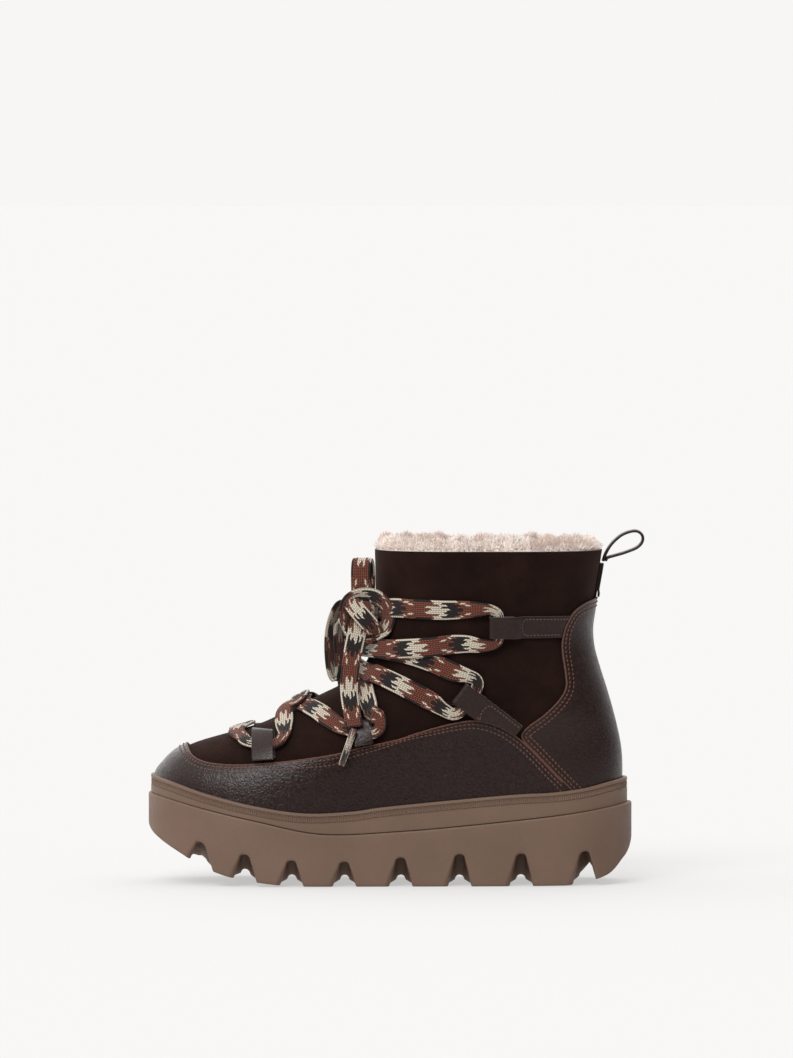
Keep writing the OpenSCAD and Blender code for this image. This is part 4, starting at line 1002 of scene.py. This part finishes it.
def outsole_piece():
    """Lugged outsole: a side wall, and a tread face raised at every groove."""
    line, out = outline(1500)[:2]
    face = LEATHER_OFF + WELT_W + OUTSOLE_STEP
    edge = grown(line, out, face, HEEL_STRETCH)
    spine = np.column_stack([np.clip(edge[:, 0], *SPINE), np.where(edge[:, 0] < TOE_X, 0.4 * TOE_SWING, 0)])
    reach = np.linalg.norm(edge - spine, axis=1)
    top = curve(edge[:, 0], SOLE_LINE) - 0.15

    def inside(inward):
        return grown(line, out, face - inward, HEEL_STRETCH)

    def tread(p, into):
        return curve(p[:, 0], TREAD) + groove_depth(p[:, 0], into)

    # Rows of points run out over the top face, down the wall and in along the tread.
    wall_low = tread(edge, 0) + 1.2
    rows = [(mix(edge, spine, share), top) for share in (0.9, 0.08)]
    rows += [(inside(inward), top - down) for inward, down in ((1.3, 0), (0.45, 0.1), (0.1, 0.5), (0, 1.2))]
    rows += [(edge, mix(top - 1.2, wall_low, share)) for share in (0.2, 0.45, 0.7, 0.85, 0.94, 1.0)]
    rows += [(inside(inward), tread(inside(inward), inward) + up)
             for inward, up in ((0.15, 0.6), (0.5, 0.15))]
    for into in (1.2, 2.2, 3.6, 5.5, 8, 11, 15, 19, 22.5, 24, 25.5, 27.5, 32, 38, 44, 50):
        p = mix(edge, spine, np.minimum(into / reach, 1.0)[:, None])
        rows.append((p, tread(p, into)))
    grid = np.array([np.column_stack([p, z]) for p, z in reversed(rows)])
    piece("outsole_lugs", grid, grid_faces(*grid.shape[:2], True), RUBBER, "outsole", crease=38)


midsole_piece()
outsole_piece()


# ---- upper ----
GUARD_END = float(turn_at(100.0, 48.0))
UPPER_LOW = raised(FEATHER, 1.7)
STITCH_ROWS = (1.9, 4.3)      # how far each row lies in from the leather's edge
DROP_STEPS = 16               # in which a row is laid down from the edge


def guard_turn(u):
    """Turn at each share across the mudguard, from its outer end round the toe to its inner one."""
    return mix(-GUARD_END, GUARD_END, u)


def front_edge(u, outer, inner):
    """Height at each share across of an edge line that differs between the outer and inner sides."""
    heights = [meet(lambda z: guard_turn(u), edge, len(u)) for edge in (outer, inner)]
    return np.where(u < 0.5, *heights)


def rows_below(turn, z, off, *drops):
    """Lines on the surface under an edge, each a distance down from it, with the directions out."""
    edge_way = unit(np.gradient(skin(turn, z, off), axis=0))
    down = unit(skin(turn, z - 0.3, off) - skin(turn, z + 0.3, off))
    slant = np.maximum(np.linalg.norm(np.cross(edge_way, down), axis=-1), 0.5)
    rows = []
    for drop in drops:
        low = z
        for _ in range(DROP_STEPS):
            pace = np.linalg.norm(skin(turn, low + 0.2, off) - skin(turn, low - 0.2, off), axis=-1) / 0.4
            low = low - drop / DROP_STEPS / slant / pace
        rows.append((skin(turn, low, off), body_normal(turn, low)))
    return rows


def front_piece(name, u, rows, low, high, off, *looks):
    """Panel round the front of the boot between two heights at each share across."""
    z = mix(low, high, np.linspace(0, 1, rows)[:, None])
    hide(name, skin(np.broadcast_to(guard_turn(u), z.shape), z, off), *looks)


def mudguard_piece():
    u = np.linspace(0, 1, 361)
    low, high = front_edge(u, UPPER_LOW, UPPER_LOW), front_edge(u, MUDGUARD_OUTER, MUDGUARD_INNER)
    front_piece("mudguard_leather", u, 30, low + 4, high, LEATHER_OFF, LEATHER_T, (LEATHER, RAW_DARK),
                "mudguard")
    shown = slice(6, -6)
    turn, high = guard_turn(u)[shown], high[shown]
    bead("mudguard_cut_edge", skin(turn, high, LEATHER_OFF - 0.25), 0.5)
    stitches("mudguard_stitches", rows_below(turn, high, LEATHER_OFF, *STITCH_ROWS))


def vamp_piece():
    u = np.linspace(4 / 56, 52 / 56, 301)
    low, high = front_edge(u, UPPER_LOW, UPPER_LOW), front_edge(u, SEAM, SEAM_INNER)
    front_piece("vamp_suede", u, 44, low + 6, high, SUEDE_T, SUEDE_T, (SUEDE, RAW_DARK), "vamp")


BACK_SEAM = 0.25        # degrees that each suede panel ends short of the heel's middle
SHAFT_FOOT = [[85, 48.6], [90, 46], [100, 45.8], [130, 48]]
FRONT_SHARE = 0.75      # share of the front panel, from the heel, that follows the outer seam


def opening(z):
    """Half width of the opening in the suede over the zip."""
    return mix(0.2, 6.0, smooth(ZIP_LOW_Z - 5, ZIP_LOW_Z - 2, z))


def shaft_low(seam):
    """Lower edge of the suede shaft, a little above the vamp's seam."""
    return raised([p for p in seam if p[0] < 80], 0.6) + SHAFT_FOOT


def shaft_pieces():
    """The suede shaft: one panel from the back seam round the outer side to the zip, one behind it."""
    u = np.linspace(0, 1, 321)

    def front_turn(z):
        return mix(180 + BACK_SEAM, 360 + turn_at(ZIP_X - opening(z), z), u - 0.05 * np.sin(2 * np.pi * u))

    def rear_turn(z):
        return mix(turn_at(ZIP_X + opening(z), z), 180 - BACK_SEAM, u)

    for word, turn_of, outer in (("front", front_turn, SEAM), ("rear", rear_turn, SEAM_INNER)):
        low = [meet(turn_of, shaft_low(seam), len(u)) for seam in (outer, SEAM_INNER)]
        z = mix(np.where(u < FRONT_SHARE, *low), COLLAR_Z, np.linspace(0, 1, 60)[:, None] ** 1.2)
        grid = skin(turn_of(z), z, SUEDE_T)
        hide("shaft_suede_" + word, grid, SUEDE_T, (SUEDE, RAW_DARK), "shaft_" + word, 0.6)


COUNTER_TOP = 162.6


def counter_turn(z, u):
    """Turn at each share of the way from the counter's inner edge to its outer one."""
    return mix(turn_at(curve(z, COUNTER_EDGE_INNER), z), 360 - turn_at(curve(z, COUNTER_EDGE), z), u)


def counter_piece():
    off = LEATHER_OFF + 0.15
    z = np.concatenate([np.linspace(51, 156, 90), np.linspace(157, COUNTER_TOP, 16)])[:, None]
    grid = skin(counter_turn(z, np.linspace(0, 1, 121)), z, off)
    hide("heel_counter_leather", grid, LEATHER_T, (LEATHER_SMOOTH, RAW_DARK), "heel_counter")
    z = np.concatenate([np.linspace(52, 156, 120), np.linspace(157, COUNTER_TOP, 30)])
    across = counter_turn(COUNTER_TOP, np.linspace(1, 0, 25)[1:-1])
    turns = np.concatenate([counter_turn(z, 1.0), across, counter_turn(z, 0.0)[::-1]])
    z = np.concatenate([z, np.full(len(across), COUNTER_TOP), z[::-1]])
    edge, out = skin(turns, z, off), body_normal(turns, z)
    bead("heel_counter_cut_edge", skin(turns, z, off - 0.25), 0.45)
    inwards = unit(np.cross(unit(np.gradient(edge, axis=0)), out))
    stitches("heel_counter_stitches", [(edge + inwards * d, out) for d in STITCH_ROWS])


mudguard_piece()
vamp_piece()
shaft_pieces()
counter_piece()


# ---- leather straps and loops that hold the lace ----
LACE_ROOM = LACE_T + 1.1
FOLD_R = (STRAP_T + LACE_ROOM) / 2
STRAP_LOW = LAP_OFF + 0.15 + STRAP_T / 2      # height of a strap's middle where it lies on the suede
STRAP_HIGH = STRAP_LOW + 2 * FOLD_R           # and where it passes over the lace


def folded_strap(node, side, tip, way, wide, reach, end_of, ramp=6.0, sewn_from=None):
    """Strap folded round the lace: it starts under the lace, turns back at tip and ends at end_of(v).

    way is its direction away from the tip, as (x, z); v is the place across its width. It lies doubled
    for its reach, then comes down to the suede over its ramp, or at ramp 0 stays up. With sewn_from,
    rows of stitches run along both edges from that distance on and close in an arc."""
    v = np.linspace(-wide / 2, wide / 2, 13)
    ends = np.array([end_of(a) for a in v])

    def place(d, v, high):
        x = tip[0] + way[0] * d - way[1] * v
        z = tip[1] + way[1] * d + way[0] * v
        return side_point(x, z, side, high)

    def height(d):
        return mix(STRAP_HIGH, STRAP_LOW, smooth(reach, reach + ramp, d)) if ramp else STRAP_HIGH + 0 * d

    back = np.linspace(reach, FOLD_R, 12)
    bend = np.linspace(0, np.pi, 15)[1:-1]
    under = [(d, STRAP_LOW) for d in back]
    fold = [(FOLD_R - FOLD_R * np.sin(a), STRAP_LOW + FOLD_R * (1 - np.cos(a))) for a in bend]
    over = [(d, STRAP_HIGH) for d in back[::-1]]
    down = [(d, height(d)) for d in reach + ramp * np.linspace(0.15, 1, 8)] if ramp else []
    last = [(mix(reach + ramp, ends, t), height(reach + ramp)) for t in np.linspace(0, 1, 16)[1:]]
    grid = np.array([place(d + 0 * v, v, high + 0 * v) for d, high in under + fold + over + down + last])
    hide(node + "_leather", grid, STRAP_T, (LEATHER_STRAP, RAW_DARK), node, edge=0.35, angle=30, offset=0)
    if sewn_from is None:
        return
    inset = wide / 2 - 1.7
    run, arc = np.linspace(0, 1, 40), np.radians(np.linspace(90, 270, 13))[1:-1]
    d = np.concatenate([mix(ends[-1] - 1, sewn_from, run), sewn_from + inset * 0.45 * np.cos(arc),
                        mix(sewn_from, ends[0] - 1, run)])
    beside = np.concatenate([inset + 0 * run, inset * np.sin(arc), -inset + 0 * run])
    line = place(d, beside, height(d) + STRAP_T / 2)
    out = unit(line - place(d, beside, height(d) - 1.0))
    stitches(node + "_stitches", [(line, out)], pitch=2.1, radius=0.34)


UPPER_TIP = (53.0, 147.2)
DIAGONAL_TIP = (35.7, 110.2)
DIAGONAL = (0.8, -0.6)


def diagonal_end(v):
    """How far along the diagonal strap the mudguard's edge lies, at width v."""
    d = np.arange(40, 15, -0.25)
    x = DIAGONAL_TIP[0] + DIAGONAL[0] * d - DIAGONAL[1] * v
    z = DIAGONAL_TIP[1] + DIAGONAL[1] * d + DIAGONAL[0] * v
    return d[np.argmax(z > curve(x, MUDGUARD_OUTER) + 0.8)]


def straps():
    folded_strap("strap_upper_lateral", LATERAL, UPPER_TIP, (1, 0), 12.5, 14,
                 lambda v: float(curve(UPPER_TIP[1] + v, COUNTER_EDGE)) - UPPER_TIP[0] - 0.8, sewn_from=20)
    folded_strap("strap_diagonal_lateral", LATERAL, DIAGONAL_TIP, DIAGONAL, 13.5, 14, diagonal_end, 0, 19)
    folded_strap("loop_upper_medial", MEDIAL, (11, 147), (1, 0), 12.5, 13.5, lambda v: 23, sewn_from=17.5)
    folded_strap("loop_diagonal_medial", MEDIAL, (1, 119.5), DIAGONAL, 13.5, 13.5, lambda v: 21, sewn_from=17)
    for side, word, edge in ((LATERAL, "lateral", MUDGUARD_OUTER), (MEDIAL, "medial", MUDGUARD_INNER)):
        for name, x, z, wide in (("loop_toe_", -74.5, 83.5, 12), ("loop_mid_", -18.5, 92.5, 10)):

            def down_to_mudguard(v):
                return z - 0.7 - float(curve(x + v, edge))

            folded_strap(name + word, side, (x, z), (0, -1), wide, 12, down_to_mudguard, 0)


straps()


# ---- pull loop ----
WEB_W = 13
WEB_T = 1.1
LOOP_T = 1.55 * WEB_T
WEB_X = float(curve(184, BACK)) + SUEDE_T + 0.4
HINGE_Z = 183.6
LOOP_LINE = [
    [WEB_X + 1.0, HINGE_Z - 0.4], [WEB_X + 2.6, 187.6], [123, 193], [128.3, 197.8], [133.5, 200],
    [137.6, 200.2], [140.4, 198], [140.6, 194.5], [137.6, 191], [131, 188.2], [124.6, 186.3],
    [WEB_X + 3.5, 185], [WEB_X + 2.5, HINGE_Z - 0.4],
]


def pull_loop_band():
    """The free loop: a flat leather band in the boot's middle plane, its width across the boot."""
    x, z = through(LOOP_LINE, 10).T
    line = spaced(np.stack([x, 0 * x, z], -1), 0.8)
    ahead = unit(np.gradient(line, axis=0))
    across = np.tile([0.0, 1.0, 0.0], (len(line), 1))
    share = np.stack(ellipse(np.linspace(0, 2 * np.pi, 40, endpoint=False), 0.35, 0.5), -1)
    points = swept(line, across, np.cross(ahead, across), share * [WEB_W / 2, LOOP_T / 2])
    piece("pull_loop_band", points, tube_faces(*points.shape[:2]), LEATHER_STRAP, "pull_loop", "heel_loop",
          crease=50)


def pull_loop_base():
    """The loop's two sewn plies, which follow the round back of the shaft."""
    turns = np.linspace(150, 210, 121)
    v = np.linspace(WEB_W / 2, -WEB_W / 2, 17)
    for ply, low in ((0, 161.5), (1, 163.4)):
        z = np.linspace(low, HINGE_Z - 1.2, 30)[:, None]
        off = SUEDE_T + 0.05 + (ply + 1) * (WEB_T + 0.03) + 0.7 * ply * smooth(168, 165, z)
        sideways = skin(np.broadcast_to(turns, (len(z), len(turns))), z, off)[..., 1]
        at = np.array([np.interp(v, row[::-1], turns[::-1]) for row in sideways])
        hide(f"pull_loop_base_ply_{ply}", skin(at, z, off), WEB_T, LEATHER_STRAP, "pull_loop_base", 0.3)


pull_loop_base()
pull_loop_band()


# ---- pile, lining and foam ----
SLIT_HALF = 6.5


def hairs(name, roots, ways, lengths, bends, material, wide=0.55, node=None):
    """Tufts of pile: thin bent blades, each four points tall, tapering to a tip."""
    n = len(roots)
    rng = np.random.default_rng(11)
    side = unit(np.cross(ways, rng.normal(size=(n, 3))))
    up = np.array([0, 0.4, 0.75, 1.0])
    narrow = np.array([1.0, 0.85, 0.55, 0.12])
    stretch = ways[:, None] * (lengths[:, None] * up)[..., None]
    middle = roots[:, None] + stretch + bends[:, None] * (lengths[:, None] * up**2)[..., None]
    half = side[:, None] * (wide / 2 * narrow)[None, :, None]
    points = np.stack([middle - half, middle + half], 2).reshape(-1, 3)
    first = np.arange(n)[:, None, None] * 8 + np.arange(3)[None, :, None] * 2
    faces = (first + np.array([0, 1, 3, 2])).reshape(-1, 4)
    tone = np.broadcast_to(rng.random(n)[:, None, None], (n, 4, 2))
    uv = np.stack([tone, np.broadcast_to(up[None, :, None], tone.shape)], -1)
    piece(name, points, faces, material, node, uv=uv, crease=180)


def ripple(*sizes):
    """Slow waves, from -1 to 1, over two or three lengths."""
    return sum(np.sin(s + 0.7 * i) * np.cos(0.63 * s + 1.3 * i) for i, s in enumerate(sizes)) / len(sizes)


def round_from_zip(z, u, half):
    """Turn at each share of the way round from one side of the zip to the other, half a gap away from it."""
    return mix(turn_at(ZIP_X + half, z), 360 + turn_at(ZIP_X - half, z), u)


def collar_turn(z, u):
    return round_from_zip(z, u, np.where(z > COLLAR_Z, 0.2, SLIT_HALF))


def lining_turn(z, u):
    return round_from_zip(z, u, mix(0.2, SLIT_HALF, smooth(ZIP_LOW_Z - 8, ZIP_LOW_Z - 1, z)))


def collar_height(turn):
    """How much higher or lower the pile's top is round the collar; it stands tallest at the front."""
    t = np.radians(turn)
    waves = 0.7 * np.sin(5 * t + 0.6) * np.cos(2 * t) + 0.7 * np.sin(13 * t) + 0.6 * np.sin(29 * t + 1)
    return waves + 0.9 * np.cos(t + 0.5) - 1.0


# Section of the collar's pile, from outside over the top to inside: [height over the collar, over the body].
COLLAR_SECTION = [
    [-1.2, 0.0], [0.4, 0.1], [1.8, -0.9], [3.4, -1.6], [4.8, -2.2], [5.8, -3.4], [5.9, -4.4],
    [5.0, -6.0], [3.2, -7.0], [0.5, -7.5], [-2.6, -7.6], [-5.2, -6.6],
]
COLLAR_TUFTS = 24000
LINING_TUFTS = 17000
LINING_TUFT_Z = 104      # below this the tufts would never be seen


def on_collar(u, dz, off):
    """Turn round the collar and point on its pile."""
    turn = collar_turn(COLLAR_Z + dz, u)
    points = skin(turn, COLLAR_Z + dz + 0 * turn, off(turn))
    points[..., 2] += smooth(0, 5, dz) * collar_height(turn)
    return turn, points


def collar_pile():
    """Clumped body of the pile over the collar, and the tufts that stand out of it."""
    section = through(COLLAR_SECTION, 3)
    u = np.linspace(0, 1, 521)

    def clumped(turn, dz, off):
        return off + 0.35 * ripple(turn * 0.9, turn * 2.1 + dz, dz * 1.7 + turn * 0.3) * smooth(-1, 2, dz)

    grid = np.array([on_collar(u, dz, lambda turn: clumped(turn, dz, off))[1] for dz, off in section])
    rise = np.linspace(0.2, 0.7, len(grid))[:, None]
    uv = np.stack(np.broadcast_arrays(0.5 + 0.4 * np.sin(u * 700)[None], rise), -1)
    faces = grid_faces(*grid.shape[:2])[:, ::-1]
    piece("collar_pile_body", grid, faces, PILE, "collar_fur", uv=uv)
    rng = np.random.default_rng(5)
    u, share = rng.random(COLLAR_TUFTS), rng.random(COLLAR_TUFTS)
    at = share * (len(section) - 1)
    i = np.minimum(at.astype(int), len(section) - 2)
    dz, off = mix(section[i], section[i + 1], (at - i)[:, None]).T
    keep = (dz > 0.2) | (off < -5)
    u, dz, off = u[keep], dz[keep], off[keep]
    turn, roots = on_collar(u, dz, lambda turn: off - 0.5)
    out = body_normal(turn, np.minimum(COLLAR_Z + dz, COLLAR_Z - 1))
    outward = (off + 3.9)[:, None] / 4.2
    lean = unit(out * outward * 0.5 + np.array([0, 0, 1.0]) * (0.5 + 0.75 * smooth(0, 5, dz))[:, None])
    stray = rng.normal(size=lean.shape) * 0.16
    comb = np.stack([ripple(turn * 0.35), ripple(turn * 0.41 + 2), 0 * turn], -1) * 0.3
    lengths = rng.uniform(1.5, 3.4, len(turn))
    bends = out * outward * 0.15 + comb + rng.normal(size=lean.shape) * 0.14
    hairs("collar_pile_tufts", roots, unit(lean + stray), lengths, bends, PILE, node="collar_fur")


def behind_zip(points):
    """Whether each point lies behind the flap under the zip."""
    low, high = (np.array(corner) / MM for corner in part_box("zip_guard"))
    beside = np.abs(points[:, 0] - (low[0] + high[0]) / 2) < (high[0] - low[0]) / 2 + 1
    return beside & (points[:, 1] > 0) & (points[:, 2] > low[2] - 1)


def lining_pieces():
    """Curly pile lining, and its tufts."""
    u = np.linspace(0, 1, 361)
    low = meet(lambda z: lining_turn(z, u), UPPER_LOW, len(u))
    z = mix(low, COLLAR_Z - 3.6, np.linspace(0, 1, 90)[:, None])
    turn = lining_turn(z, u)
    curl = 0.45 * ripple(turn * 0.8 + z * 0.3, z * 0.9 - turn * 0.4, turn * 1.7)
    inner, outer = skin(turn, z, PILE_OFF + curl), skin(turn, z, LINING_OFF)
    ring = np.concatenate([inner, outer[::-1]])
    uv = np.stack([0.5 + 0.4 * ripple(turn * 2, z * 2), 0.45 + 0.3 * curl], -1)
    faces = grid_faces(*ring.shape[:2], wrap_rows=True)[:, ::-1]
    lining = piece("lining_pile", ring, faces, PILE_INSIDE, "lining", uv=np.concatenate([uv, uv[::-1]]))
    rng = np.random.default_rng(8)
    u, share = rng.random(LINING_TUFTS), rng.random(LINING_TUFTS)
    low = meet(lambda z: lining_turn(z, u), UPPER_LOW, LINING_TUFTS)
    z = mix(np.maximum(low + 6, LINING_TUFT_Z), COLLAR_Z - 3.6, share)
    turn = lining_turn(z, u)
    out = body_normal(turn, z)
    ways = unit(-out + np.array([0, 0, 0.3]) + rng.normal(size=out.shape) * 0.35)
    lengths, bends = rng.uniform(1.4, 2.6, LINING_TUFTS), rng.normal(size=out.shape) * 0.35
    roots = skin(turn, z, PILE_OFF + 0.4)
    free = ~behind_zip(roots)
    hairs("lining_tufts", roots[free], ways[free], lengths[free], bends[free], PILE_INSIDE, wide=0.8)


collar_pile()
lining_pieces()


# ---- pieces that keep their CAD shape: their finish, and how far their edges are rounded ----
CAD_LOOKS = {
    "shank": (STEEL, 0.5), "insole_board": (BOARD, 0.4), "toe_puff": (STIFFENER, 0),
    "heel_stiffener": (STIFFENER, 0), "insulation": (FOAM, 0), "footbed": (PILE_INSIDE, 1.2),
    "zip_tape_front": (TAPE, 0), "zip_tape_rear": (TAPE, 0), "zip_guard": (GUARD, 0),
    "zip_teeth_front": (ZIP_METAL, 0.22), "zip_teeth_rear": (ZIP_METAL, 0.22),
    "zip_top_stops": (ZIP_METAL, 0.3), "zip_bottom_stop": (ZIP_METAL, 0.3),
    "zip_slider": (ZIP_METAL, 0.4), "zip_pull": (ZIP_METAL, 0.35),
}
for node, (finish, rounding) in CAD_LOOKS.items():
    materials = NODES[node].data.materials
    materials.clear()
    materials.append(finish)
    if rounding:
        soften(NODES[node], rounding, segments=3, angle=40)
